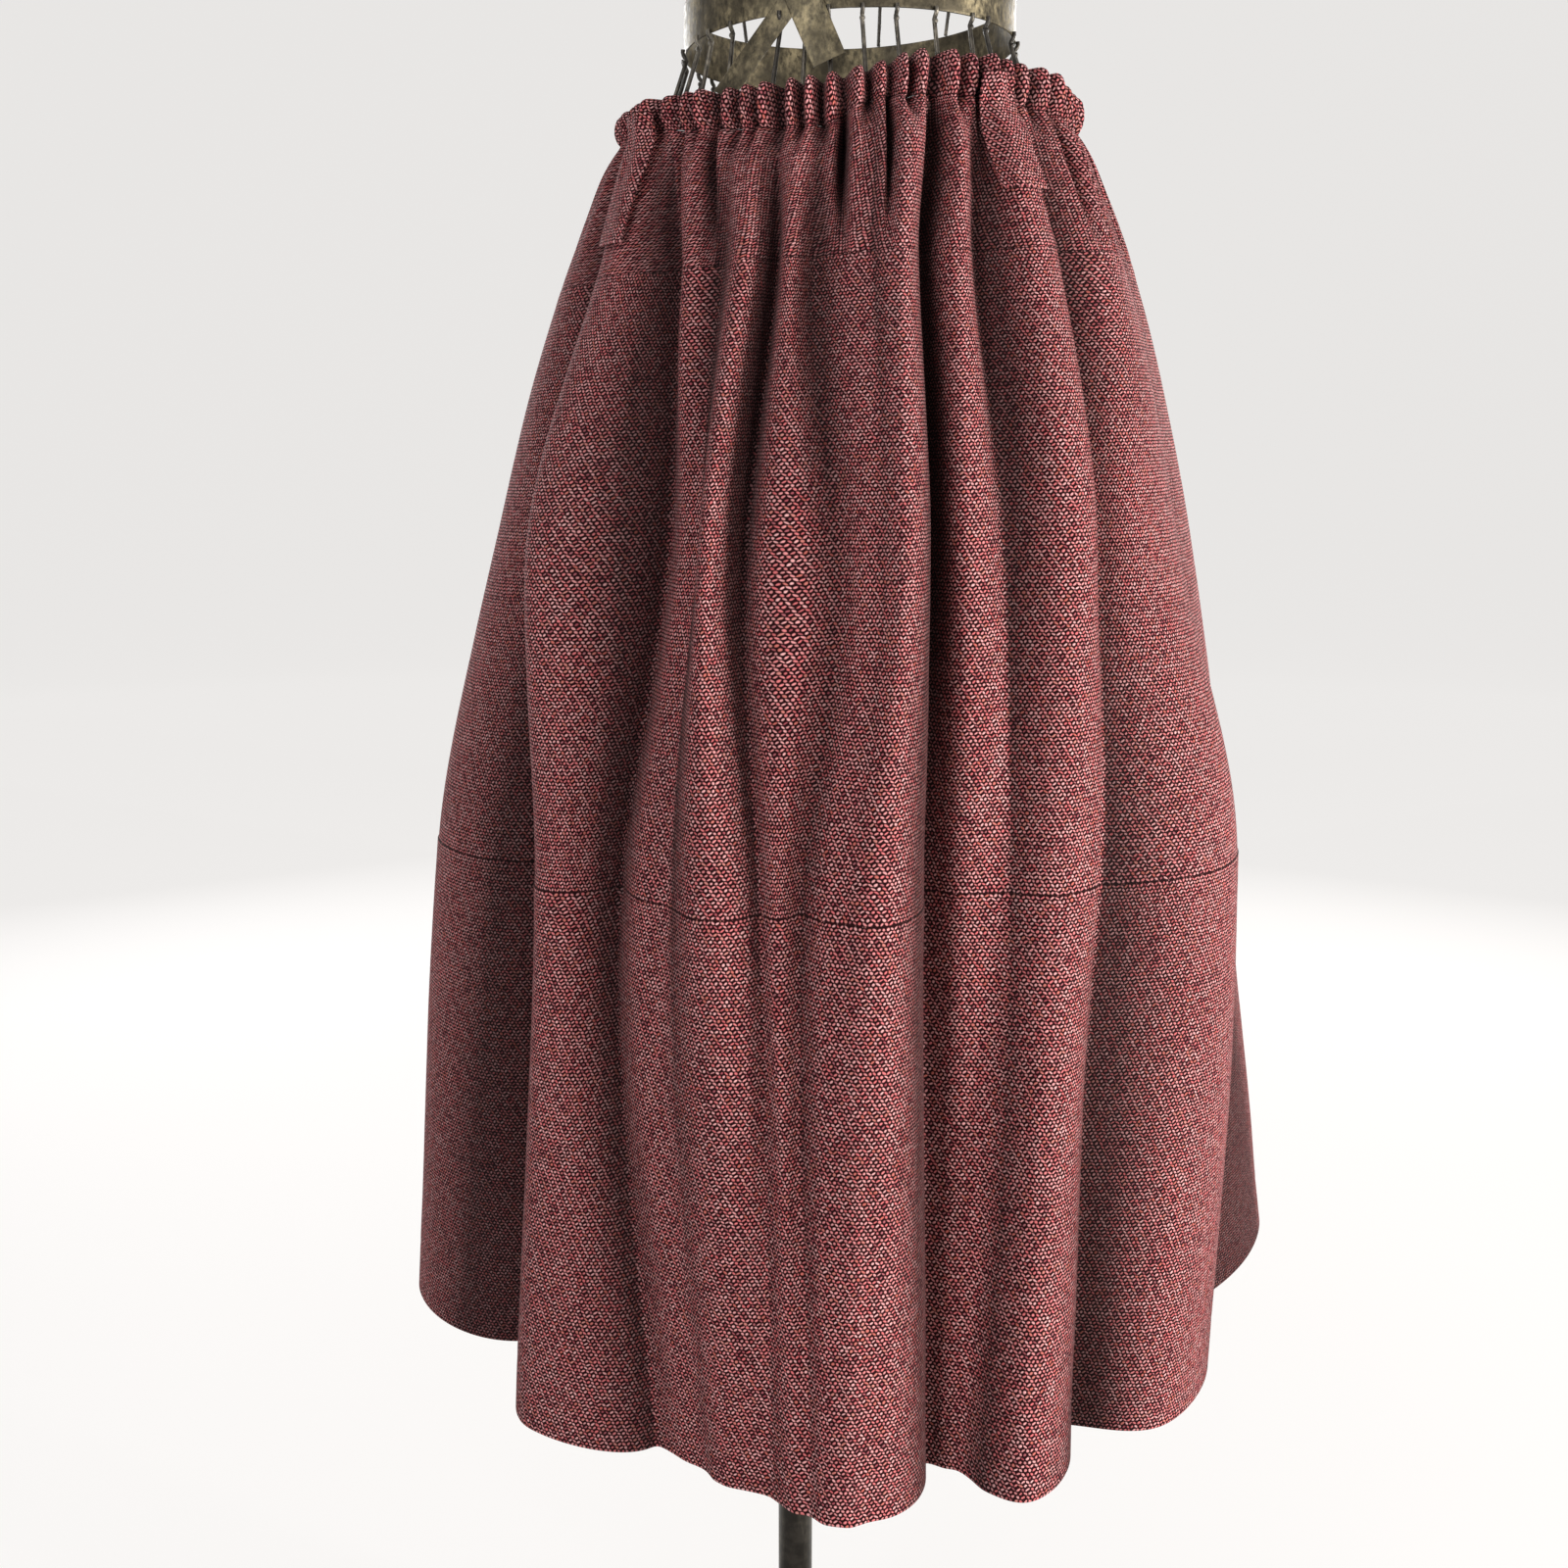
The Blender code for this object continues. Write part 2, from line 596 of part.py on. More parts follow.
def cage(name, wires, table, top_height, foot_height, rings, look):
    """Upright wires and level rings in one body. Heights run from share 1 at the top to 0."""
    table = np.array(table)
    shares = (table[:, 0] - table[-1, 0]) / (table[0, 0] - table[-1, 0])
    edges = [share for share, size in rings] + [share - size for share, size in rings]
    stops = np.unique(np.round(np.concatenate([shares, edges]), 6))[::-1]
    side = through(shares, table[:, 1], stops)
    depth = through(shares, table[:, 2], stops)
    grids = ([], [])
    for index, share in enumerate(stops):
        middle = (np.arange(wires) + 0.5) * 2 * math.pi / wires
        half = WIRE / 2 / oval(middle, side[index], depth[index])
        angle = np.stack([middle - half, middle + half], 1).reshape(-1)
        for grid, inset in zip(grids, (0.0, WIRE)):
            reach = oval(angle, side[index], depth[index]) - inset
            x = AXIS_X + reach * np.sin(angle)
            y = -reach * np.cos(angle)
            top = top_height(x, y)
            foot = foot_height(x, y)
            grid.append(np.stack([x, y, foot + (top - foot) * share], -1))
    keep = np.zeros((len(stops) - 1, 2 * wires), bool)
    keep[:, 0::2] = True
    for share, size in rings:
        for row in range(len(stops) - 1):
            if stops[row] < share + 1e-5 and stops[row + 1] > share - size - 1e-5:
                keep[row] = True
    return wall(name, np.array(grids[0]), np.array(grids[1]), look, closed=True, keep=keep)


def strap(row, look):
    name, top_x, top, foot_x, foot, width, layers = row
    run = np.array([foot_x - top_x, foot - top])
    length = float(np.hypot(*run))
    along = run / length
    across = np.array([-along[1], along[0]])
    table = np.array(CAGE)
    grids = ([], [])
    for step in np.linspace(0, 1, 7):
        for grid, lift in zip(grids, (STRAP_WALL, 0.0)):
            line = []
            for side in (-0.5, 0.0, 0.5):
                x, z = np.array([top_x, top]) + run * step + across * width * side
                side_size = through(table[:, 0], table[:, 1], z)
                depth_size = through(table[:, 0], table[:, 2], z)
                bulge = math.sqrt(1 - ((x - AXIS_X) / side_size) ** 2)
                clear = 0.0005 + layers * (STRAP_WALL + 0.0007)
                line.append((x, -depth_size * bulge - clear - lift, z))
            grid.append(line)
    return wall(name, np.array(grids[0]), np.array(grids[1]), look)


def floor_plate(look):
    """The oval board that closes the foot of the hip cage, seated under its lowest ring."""
    side, depth = CAGE[-1][1:]
    angle = np.linspace(0, 2 * math.pi, 32, endpoint=False)
    top = CAGE_FOOT - SEAM_GAP
    points = []
    for height in (top - FLOOR_PLATE, top):
        for turn in angle:
            reach = float(oval(turn, side, depth))
            points.append((AXIS_X + reach * math.sin(turn), -reach * math.cos(turn), height))
    count = len(angle)
    faces = [list(range(count)), list(range(2 * count - 1, count - 1, -1))]
    for step in range(count):
        after = (step + 1) % count
        faces.append([step, count + step, count + after, after])
    faces = [face[::-1] for face in faces]
    made = add_object("form_floor_plate", points, faces, look)
    made.data.shade_smooth()
    made.data.set_sharp_from_angle(angle=math.radians(40))
    return made


def build():
    for old in list(bpy.data.objects):
        bpy.data.objects.remove(old, do_unlink=True)
    cloth = (0.20, 0.055, 0.062)
    brass = (0.10, 0.085, 0.055)
    steel = (0.05, 0.045, 0.040)

    places, numbers = gather_places()
    gathers = gather_height(places, numbers)
    casing(places, gathers, material("casing_cloth", cloth, 0.0, 0.85))

    right_seam = len(FOLDS) - 0.5
    left_seam = -0.5
    waist_rows = (WAIST, 1.082, 1.060, 1.040, YOKE_SEAM + SEAM_GAP)
    middle_rows = (YOKE_SEAM, 0.985, 0.925, HIP, 0.775, TIER_SEAM + SEAM_GAP)
    lower_rows = (TIER_SEAM, 0.615, 0.525, HEM_LINE + 0.001, HEM_LINE, HEM)
    wrapped = (places - left_seam) % ROWS + left_seam
    order = np.argsort(wrapped)
    wrapped = wrapped[order]
    sorted_gathers = gathers[order]
    all_round = np.concatenate([wrapped, wrapped + ROWS])
    all_gathers = np.concatenate([sorted_gathers, sorted_gathers])
    spans = (("front", left_seam, right_seam, 3.7), ("back", right_seam, ROWS - 0.5, 4.3))
    for word, start, end, spacing in spans:
        between = (all_round > start + 0.05) & (all_round < end - 0.05)
        edges = np.interp([start, end], all_round, all_gathers)
        yoke_places = np.concatenate([[start], all_round[between], [end]])
        yoke_gathers = np.concatenate([[edges[0]], all_gathers[between], [edges[1]]])
        look = material(f"yoke_{word}_cloth", cloth, 0.0, 0.85)
        tier(f"yoke_{word}", yoke_places, waist_rows, look, 0.0, gathers=yoke_gathers)
        if word == "front":
            for row in TUCKS:
                tuck(row, yoke_places, yoke_gathers, material(f"{row[0]}_cloth", cloth, 0.0, 0.85))
        fold = fold_places(start, end, spacing)
        look = material(f"middle_{word}_cloth", cloth, 0.0, 0.85)
        tier(f"middle_tier_{word}", fold, middle_rows, look, YOKE_STEP)
        look = material(f"lower_{word}_cloth", cloth, 0.0, 0.85)
        tier(f"lower_tier_{word}", fold, lower_rows, look, TIER_STEP, hem=True)

    waist_band(material("band_metal", brass, 0.9, 0.5))
    for row in STRAPS:
        strap(row, material(f"{row[0]}_metal", brass, 0.9, 0.5))

    def under_band(x, y):
        return band_foot(x, y) - SEAM_GAP

    def cage_foot(x, y):
        return CAGE_FOOT + 0.0 * x

    def over_band(x, y):
        return band_foot(x, y) + WAIST_BAND_HEIGHT + SEAM_GAP

    def neck(x, y):
        return WAIST_BAND_FOOT + WAIST_BAND_HEIGHT + TORSO[-1][0] + 0.0 * x

    hip_ring = WIRE / (CAGE[0][0] - CAGE[-1][0])
    hip_rings = ((hip_ring, hip_ring),)
    cage("form_hip_cage", HIP_WIRES, CAGE, under_band, cage_foot, hip_rings, material("hip_wire", steel, 0.9, 0.45))
    rings = ((1.0, NECK_RING / TORSO[-1][0]), (0.45, WIRE / TORSO[-1][0]))
    look = material("torso_wire", steel, 0.9, 0.45)
    cage("form_torso_cage", TORSO_WIRES, TORSO[::-1], neck, over_band, rings, look)

    neck_height = float(neck(0.0, 0.0)) + SEAM_GAP
    radius = TORSO[-1][1]
    cap = ((radius, neck_height), (radius, neck_height + NECK_CAP_HEIGHT * 0.6))
    cap += ((radius * 0.8, neck_height + NECK_CAP_HEIGHT),)
    turned("form_neck_cap", cap, material("cap_wood", (0.06, 0.03, 0.015), 0.0, 0.5), 24, (AXIS_X, 0.0))
    floor_plate(material("plate_wood", (0.06, 0.03, 0.015), 0.0, 0.6))

    base = ((BASE_RADIUS, 0.0), (BASE_RADIUS, BASE_HEIGHT - BASE_BEVEL), (BASE_RADIUS - BASE_BEVEL, BASE_HEIGHT))
    base += ((COLLAR_RADIUS, BASE_HEIGHT), (COLLAR_RADIUS, BASE_HEIGHT + COLLAR_HEIGHT))
    turned("form_base", base, material("base_metal", steel, 0.9, 0.45), 36)
    pole = ((POLE_RADIUS, BASE_HEIGHT + COLLAR_HEIGHT + SEAM_GAP),)
    pole += ((POLE_RADIUS, CAGE_FOOT - FLOOR_PLATE - 2 * SEAM_GAP),)
    turned("form_pole", pole, material("pole_metal", steel, 0.9, 0.4), 20)


build()
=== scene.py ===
"""Looks of the gathered three-tier skirt and of the wire-cage dress form that it stands on.

Metres, +Z up, the skirt's front towards -Y. The cloth is drawn round the skirt's own upright
axis, by angle and reach: the angle is 0 at the front and grows towards +X.
"""

import math

import bpy
import numpy as np
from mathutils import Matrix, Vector


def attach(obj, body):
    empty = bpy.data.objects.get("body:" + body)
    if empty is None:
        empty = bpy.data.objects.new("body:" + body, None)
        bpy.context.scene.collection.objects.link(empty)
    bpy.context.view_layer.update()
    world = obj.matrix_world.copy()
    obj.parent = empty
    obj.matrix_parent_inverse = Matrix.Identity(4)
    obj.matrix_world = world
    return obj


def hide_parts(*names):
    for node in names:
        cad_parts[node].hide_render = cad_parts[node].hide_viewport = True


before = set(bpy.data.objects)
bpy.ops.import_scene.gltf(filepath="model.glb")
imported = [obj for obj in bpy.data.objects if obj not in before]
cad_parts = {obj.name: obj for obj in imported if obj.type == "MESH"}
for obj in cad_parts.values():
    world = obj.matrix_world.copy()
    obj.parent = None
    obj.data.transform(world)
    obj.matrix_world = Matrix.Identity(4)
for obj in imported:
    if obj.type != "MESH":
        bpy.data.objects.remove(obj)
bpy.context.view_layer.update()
stage = bpy.context.scene

# ------------------------ sizes, in metres
AXIS_X = 0.031
SEAM_GAP = 0.0003
CLOTH = 0.0016
HEM_CLOTH = 0.0028
CASING_TOP = 1.1225
CASING_FOOT = 1.0953
WAIST = 1.095
UPPER_YOKE = 1.076
YOKE_SEAM = 1.02
HIP = 0.855
TIER_SEAM = 0.689
HEM_LINE = 0.413
HEM = 0.385
WAIST_SIDE = 0.1312
WAIST_DEPTH = 0.1045
CASING_WALL = 0.0040
PINCH = 0.0012
PINCH_REACH = 0.004
YOKE_STEP = 0.0002
TIER_STEP = 0.0006
STEP_REACH = 0.018
CASING_BULGE = 0.0016
CASING_GATHER = 1.05
FRONT_GATHERS = 30
BACK_GATHERS = 26
GATHER = 0.0054
GATHER_SHARP = 3.0  # the higher, the narrower the valleys between the gathers
CASING_SHARP = 2.6
GATHER_SHIFT = 0.26  # how uneven the gathers' places are
GATHER_SPREAD = 0.28  # and their heights
GATHER_PAINTED_SHADE = 0.45  # how much painted shade the cloth's colour gets between the gathers
GATHER_FADE = ((WAIST, 1.0), (1.080, 1.15), (1.057, 0.75), (1.037, 0.30), (YOKE_SEAM, 0.05))
GATHERS_END = YOKE_SEAM - 0.01
RIDGE = 1
VALLEY = -1
FOLDS = (
    # name, kind, waist angle, then angle and reach at: yoke seam, hip, tier seam, hem
    ("left_side", RIDGE, -88.0, -84.0, 174, -76.0, 222, -77.0, 258, -80.0, 282),
    ("left_tuck_in", VALLEY, -76.0, -69.0, 157, -58.0, 201, -55.0, 214, -57.0, 219),
    ("left_front", RIDGE, -66.0, -57.0, 168, -46.0, 242, -41.5, 256, -40.0, 283),
    ("left_hollow", VALLEY, -56.5, -45.7, 130, -31.0, 196, -34.6, 222, -25.0, 257),
    ("left_crimp", RIDGE, -47.0, -37.5, 153, -25.4, 214, -27.0, 245, -19.2, 267),
    ("left_nick", VALLEY, -39.0, -32.0, 131, -22.6, 214, -22.4, 252, -16.4, 276),
    ("left_crown", RIDGE, -30.0, -23.0, 162, -19.8, 240, -17.5, 270, -13.5, 281),
    ("centre_nick", VALLEY, -22.0, -19.0, 125, -16.8, 204, -12.0, 250, -9.0, 286),
    ("centre_pale", RIDGE, -16.5, -14.2, 154, -11.3, 230, -9.6, 261, -6.4, 297),
    ("centre_hollow", VALLEY, -10.5, -10.0, 125, -3.3, 213, -7.2, 246, -4.8, 299),
    ("loop_left", RIDGE, -0.7, -1.2, 152, 0.2, 228, -3.6, 266, -3.2, 306),
    ("loop", VALLEY, 4.2, 2.2, 148, 2.4, 235, -1.3, 271, -1.0, 308),
    ("prow", RIDGE, 12.0, 6.6, 167, 4.8, 243, 1.8, 275, 1.6, 301),
    ("deep", VALLEY, 21.0, 14.2, 123, 11.0, 176, 9.2, 204, 8.2, 252),
    ("deep_right", RIDGE, 27.0, 19.2, 156, 15.0, 210, 15.0, 222, 11.0, 261),
    ("tuck_slit", VALLEY, 34.0, 27.0, 132, 22.0, 198, 20.2, 227, 13.0, 280),
    ("right_lobe", RIDGE, 41.0, 35.6, 167, 30.4, 224, 26.4, 244, 17.2, 299),
    ("right_hollow", VALLEY, 52.0, 47.0, 145, 38.4, 204, 33.0, 236, 28.0, 240),
    ("right_front", RIDGE, 62.0, 58.0, 168, 47.0, 219, 49.5, 262, 39.5, 276),
    ("right_tuck_in", VALLEY, 76.0, 74.0, 161, 65.0, 206, 71.0, 227, 67.0, 221),
    ("right_side", RIDGE, 90.0, 90.0, 172, 88.0, 214, 96.0, 247, 105.0, 311),
)
ANGLE_COLUMNS = (2, 3, 5, 7, 9)
REACH_COLUMNS = (4, 6, 8, 10)
LEVELS = (WAIST, UPPER_YOKE, YOKE_SEAM, HIP, TIER_SEAM, HEM)
LOBE = 0.9
LOBE_RISE = 0.3
LOBE_WIDE = 2.2
LOBE_STEEP = 0.625
UPPER_SHARE = 0.25
UPPER_FOLD = 0.50
WAIST_FOLD = 0.0016
BACK_RIDGES = 6
BACK_UNEVEN = 0.32  # how uneven the places of the back's folds are
BACK_SPREAD = 0.35  # and their heights
BACK_RINGS = (
    # level, half width, depth, fold height
    (YOKE_SEAM, 0.170, 0.158, 0.008),
    (HIP, 0.214, 0.200, 0.015),
    (TIER_SEAM, 0.244, 0.224, 0.020),
    (HEM, 0.285, 0.248, 0.027),
)
CLIMB = ((CASING_TOP, 0.052), (WAIST, 0.050), (YOKE_SEAM, 0.050), (TIER_SEAM, 0.016), (HEM, 0.0))
ARCH = (
    # angle, rise of the casing's top edge, rise of the waist line, in degrees and millimetres
    (-180, 0.0, 4.0),
    (-112, 0.0, 5.0),
    (-86, -2.0, 9.0),
    (-74, -3.5, 8.5),
    (-62, -3.8, 7.0),
    (-52, -4.8, 3.6),
    (-36, -6.5, 0.0),
    (-21, -6.5, -2.4),
    (-8, -5.0, -1.8),
    (0, -3.0, 5.5),
    (9, 0.8, 10.5),
    (20, 5.2, 10.4),
    (38, 3.7, 10.0),
    (55, 0.6, 6.0),
    (72, -5.0, 1.8),
    (90, -7.0, 0.5),
    (130, -2.0, 3.0),
    (180, 0.0, 4.0),
)
TUCKS = (
    # name, top free, top far, foot free, foot far (degrees), top height, foot height
    ("tuck_right", 35.6, 45.5, 32.2, 42.6, 1.1100, 1.0492),
    ("tuck_left", -60.0, -70.5, -53.0, -63.0, 1.1105, 1.0381),
)
TUCK_WALL = 0.0014
TUCK_THIN = 0.6  # the stitched edge is thinner by this share
TUCK_MIDDLES = (39.0, -60.0)
CALM_DEPTH = 0.8
CALM_WIDTH = 11.0
CALM_START = 0.012
TUCK_LIFT = 0.0008
TUCK_SPAN = 0.006
# shares of the casing's height, each with the share of its bulge or the millimetres off its inner wall
CASING_OUTSIDE = ((0.0, -0.75), (0.05, -0.35), (0.13, 0.2), (0.25, 0.7), (0.42, 1.0))
CASING_OUTSIDE += ((0.6, 0.95), (0.75, 0.75), (0.87, 0.3), (0.95, -0.45), (0.99, -1.3))
CASING_INSIDE = ((1.0, 0.3), (0.93, 0.0), (0.7, 0.0), (0.4, 0.0), (0.15, 0.0), (0.0, 0.3))
CASING_PART = 0.95  # share of the gathers' height on the casing's edges
CASING_SWELL = 0.12  # and what is added in the middle of its height
CASING_LEAN = 0.16
CASING_SCALLOP = 0.0014
CASING_DIP = 0.0022  # the inner edge is lower than the outer one

PAINTED_SHADE_DEPTH = 0.020  # a fold this deep gets the full painted shade at its foot
MERGE_REACH = 0.016  # the gathers have merged by this far below the stitching line
RING = 1600  # columns of the cloth, all round
YOKE_ROWS = 0.0030  # from one row of points to the next
TIER_ROWS = 0.0050
EDGE_ROW = 0.0012  # the same at the edges of a piece
EDGE_STEPS = 4  # rounding of a wall's edges
SOFTEN = 0.0042  # folds are rounded off over about this length
WAIST_SOFTEN = 0.001
RIPPLE = 0.0007
RIPPLES = (
    # waves round the skirt, metres from one change to the next down the cloth, seed
    (46, 0.11, 21.0),
    (83, 0.06, 22.0),
    (29, 0.2, 23.0),
)
HEM_GROOVE = 0.0006
HEM_EDGE = 0.0006
HEM_GROOVE_WIDE = 0.0016
GRAIN_WIDE = 0.00235  # the weave repeats by this across
GRAIN_HIGH = 0.00195  # and by this up the cloth

# the dress form
WIRE = 0.0024
BAND_SIDE = 0.0986
BAND_DEPTH = 0.0830
BAND_HEIGHT = 0.0270
BAND_WALL = 0.0012
BAND_FOOT = 1.15
BAND_CLIMB_X = 0.030
BAND_CLIMB_Y = -0.075
HIP_WIRES = 28
TORSO_WIRES = 12
CAGE_FOOT = 0.895
CAGE = (
    (1.155, 0.0986, 0.0830),
    (1.125, 0.1090, 0.0868),
    (1.095, 0.1214, 0.0905),
    (1.050, 0.1285, 0.0940),
    (0.980, 0.1460, 0.1150),
    (0.895, 0.1590, 0.1370),
)
TORSO = (
    (0.000, 0.0986, 0.0830),
    (0.060, 0.1120, 0.0930),
    (0.120, 0.1300, 0.1080),
    (0.180, 0.1440, 0.1160),
    (0.240, 0.1500, 0.1080),
    (0.290, 0.1420, 0.0920),
    (0.325, 0.1060, 0.0760),
    (0.350, 0.0600, 0.0560),
    (0.400, 0.0480, 0.0480),
)
WIRE_SINK = 0.001
WIRE_LEAN = 0.022
HOOK_DROP = 0.0045
HOOK = ((0.0009, 0.0016), (0.0018, 0.0030), (0.0022, 0.0046), (0.0021, 0.0062))  # out, up
KNOB = ((-0.0022, 1.0), (-0.0010, 1.4), (0.0002, 1.0))  # height, share of the wire's radius
KNOB_OUT = 0.0010
CAP_SIDE = 0.005
CAP_DOME = 0.007
CAP_EDGE = 0.010
FLOOR_PLATE = 0.008
POLE_RADIUS = 0.0118
BASE_RADIUS = 0.150
BASE_HEIGHT = 0.012
BASE_BEVEL = 0.004
COLLAR_RADIUS = 0.024
COLLAR_HEIGHT = 0.030
COLLAR_BEVEL = 0.003
COLLAR_FOOT = 0.002
STRAPS = (
    # name, top x, top height, foot x, foot height, width, layers of metal under it
    ("form_strap_left", 0.0020, 1.1690, -0.0425, 1.1130, 0.0125, 0),
    ("form_strap_right", -0.0010, 1.1690, 0.0168, 1.1280, 0.0190, 1),
)
STRAP_WALL = 0.0010
STRAP_CLEAR = 0.0005
STRAP_GAP = 0.0007

# the stage
FLOOR_RADIUS = 6.0
DOME_RADIUS = 8.0
DOME_FOOT = 2.0
DOME_HEIGHT = 5.0
WARM_LIGHT = (1.0, 0.985, 0.96)
COOL_LIGHT = (0.96, 0.98, 1.0)
LIGHTS = (
    # name, azimuth, height, away, width, length, watts, colour, height it is aimed at
    ("window", 66, 0.75, 2.3, 0.5, 0.7, 60, WARM_LIGHT, 0.75),
    ("window_near", 30, 0.75, 2.3, 0.7, 0.7, 17, WARM_LIGHT, 0.75),
    ("left_window", -30, 0.75, 2.3, 0.7, 0.7, 19, COOL_LIGHT, 0.75),
    ("left_high", -30, 2.07, 1.88, 0.7, 0.7, 9, COOL_LIGHT, 0.75),
    ("back_left", -150, 1.3, 2.6, 1.2, 1.2, 34, (0.97, 0.98, 1.0), 0.85),
    ("back_right", 150, 1.3, 2.6, 1.2, 1.2, 34, (1.0, 0.99, 0.97), 0.85),
)
SKY = (0.92, 0.95, 1.0, 1.0)
SKY_STRENGTH = 0.04
LENS = 38.95
SENSOR = 36
CAMERA_PLACE = (-0.008, -1.075, 0.918)
CAMERA_DOWN = 11.1


# ------------------------ curves and lengths
def slopes(x, y):
    """Slopes of a curve through the rows that never overshoots them."""
    rise = np.diff(y, axis=0) / np.diff(x)[:, None]
    product = rise[:-1] * rise[1:]
    mean = 2 * product / np.where(product > 0, rise[:-1] + rise[1:], 1)
    return np.concatenate([rise[:1], np.where(product > 0, mean, 0), rise[-1:]])


def through(x, y, at):
    """Value at each place of a smooth curve through the points. Columns of y are curves."""
    x = np.asarray(x, float)
    y = np.asarray(y, float)
    single = y.ndim == 1
    if single:
        y = y[:, None]
    if x[0] > x[-1]:
        x = x[::-1]
        y = y[::-1]
    at = np.clip(np.asarray(at, float), x[0], x[-1])
    slope = slopes(x, y)
    left = np.clip(np.searchsorted(x, at, side="right") - 1, 0, len(x) - 2)
    width = (x[left + 1] - x[left])[..., None]
    t = (at - x[left])[..., None] / width
    start = y[left] * (1 + 2 * t) * (1 - t) ** 2 + slope[left] * width * t * (1 - t) ** 2
    end = y[left + 1] * t * t * (3 - 2 * t) - slope[left + 1] * width * t * t * (1 - t)
    return (start + end)[..., 0] if single else start + end
def from_table(table, at):
    """Curves through the rows of a table, over its first column."""
    table = np.array(table)
    values = table[:, 1] if table.shape[1] == 2 else table[:, 1:]
    return through(table[:, 0], values, at)


def ease(t):
    return t * t * (3 - 2 * t)


def summed(lengths):
    """Length up to each point of a line, from the lengths between them."""
    return np.concatenate([np.zeros_like(lengths[..., :1]), np.cumsum(lengths, axis=-1)], axis=-1)


def step_lengths(points, axis=0, **more):
    return np.linalg.norm(np.diff(points, axis=axis, **more), axis=-1)
def oval(angle, side, depth):
    return 1 / np.sqrt((np.sin(angle) / side) ** 2 + (np.cos(angle) / depth) ** 2)


def uneven(index, seed):
    """A fixed number from -1 to 1 that looks irregular along the index."""
    value = np.sin(np.asarray(index, float) * 12.9898 + seed * 78.233) * 43758.5453
    return 2 * (value - np.floor(value)) - 1


def wander(at, seed):
    """A slow, smooth and irregular curve from about -1 to 1."""
    cell = np.floor(at)
    t = ease(at - cell)
    return uneven(cell, seed) * (1 - t) + uneven(cell + 1, seed) * t


# ------------------------ the skirt's surface
def fold_rows():
    angles = [[math.radians(row[column]) for column in ANGLE_COLUMNS] for row in FOLDS]
    kinds = [row[1] for row in FOLDS]
    reaches = [[row[column] / 1000 for column in REACH_COLUMNS] for row in FOLDS]
    spaces = 2 * BACK_RIDGES + 2
    first = np.array(angles[0]) + 2 * math.pi
    last = np.array(angles[-1])
    for index in range(1, spaces):
        kind = VALLEY if index % 2 else RIDGE
        share = (index + BACK_UNEVEN * uneven(index, 3.0)) / spaces
        place = last + (first - last) * share
        angles.append(place)
        kinds.append(kind)
        height = kind * (1 + BACK_SPREAD * uneven(index, 7.0))
        rings = zip(place[1:], BACK_RINGS)
        reaches.append([oval(angle, wide, deep) + height * tall for angle, (_, wide, deep, tall) in rings])
    angles = np.array(angles)
    reaches = np.array(reaches)
    waist = oval(angles[:, 0], WAIST_SIDE, WAIST_DEPTH)
    beside = (np.roll(reaches[:, 0], 1) + np.roll(reaches[:, 0], -1)) / 2
    middle = (reaches[:, 0] + beside) / 2
    upper = waist + UPPER_SHARE * (middle - waist) + UPPER_FOLD * (reaches[:, 0] - middle)
    upper_angle = angles[:, 0] + UPPER_SHARE * (angles[:, 1] - angles[:, 0])
    angles = np.column_stack([angles[:, 0], upper_angle, angles[:, 1:]])
    waist = waist + WAIST_FOLD * np.array(kinds)
    return angles, np.column_stack([waist, upper, reaches]), np.array(kinds)


ANGLES, REACHES, KINDS = fold_rows()
ROWS = len(ANGLES)


def round_rows(values, turn):
    return np.concatenate([values[-3:] - turn, values, values[:3] + turn])


def lobe(t, part):
    """Share of the way down from a ridge to a valley. Ridges are broad and valleys narrow."""
    even = ease(t)
    return even + part * (1 - (1 - t**LOBE_WIDE) ** LOBE_STEEP - even)


def between_rows(place):
    """For places counted in fold rows: the row before, if it is a ridge, and how far down they are."""
    row = np.floor(place).astype(int)
    t = place - row
    ridge = KINDS[row % ROWS] == RIDGE
    return row % ROWS, ridge, np.where(ridge, lobe(t, LOBE), lobe(1 - t, LOBE_RISE))


def skirt_line(place, height):
    """Angle and reach at places counted in fold rows, on one level line."""
    angle = through(LEVELS, ANGLES.T, height)
    reach = through(LEVELS, REACHES.T, height)
    count = np.arange(-3, ROWS + 3)
    angle = through(count, round_rows(angle, 2 * math.pi), place)
    row, ridge, down = between_rows(place)
    share = np.where(ridge, down, 1 - down)
    return angle, reach[row] + (reach[(row + 1) % ROWS] - reach[row]) * share


def waist_share(angle):
    """Share of the way round the waist, by length along it, counted from the angle 0."""
    fine = np.linspace(-math.pi, 3 * math.pi, 1441)
    reach = oval(fine, WAIST_SIDE, WAIST_DEPTH)
    length = summed(np.hypot(np.diff(reach * np.sin(fine)), np.diff(reach * np.cos(fine))))
    length = (length - np.interp(0, fine, length)) / (length[-1] / 2)
    return np.interp(angle, fine, length)


def arch(angle, height):
    """Rise of the waist's edges, which aren't level. It fades out down to the yoke's seam."""
    turn = (np.degrees(angle) + 180) % 360 - 180
    rises = from_table(ARCH, turn) / 1000
    up = np.clip((height - CASING_FOOT) / (CASING_TOP - CASING_FOOT), 0, 1.2)
    down = np.clip((height - YOKE_SEAM) / (WAIST - YOKE_SEAM), 0, 1)
    return rises[..., 0] * up + rises[..., 1] * (1 - up) * ease(down)


def placed(angle, reach, height, lift=0.0):
    """Points round the skirt's axis, with the slant and the arch of that height."""
    x = reach * np.sin(angle)
    z = height + lift + from_table(CLIMB, height) * x + arch(angle, height + lift)
    return np.stack([AXIS_X + x, -reach * np.cos(angle), z], -1)


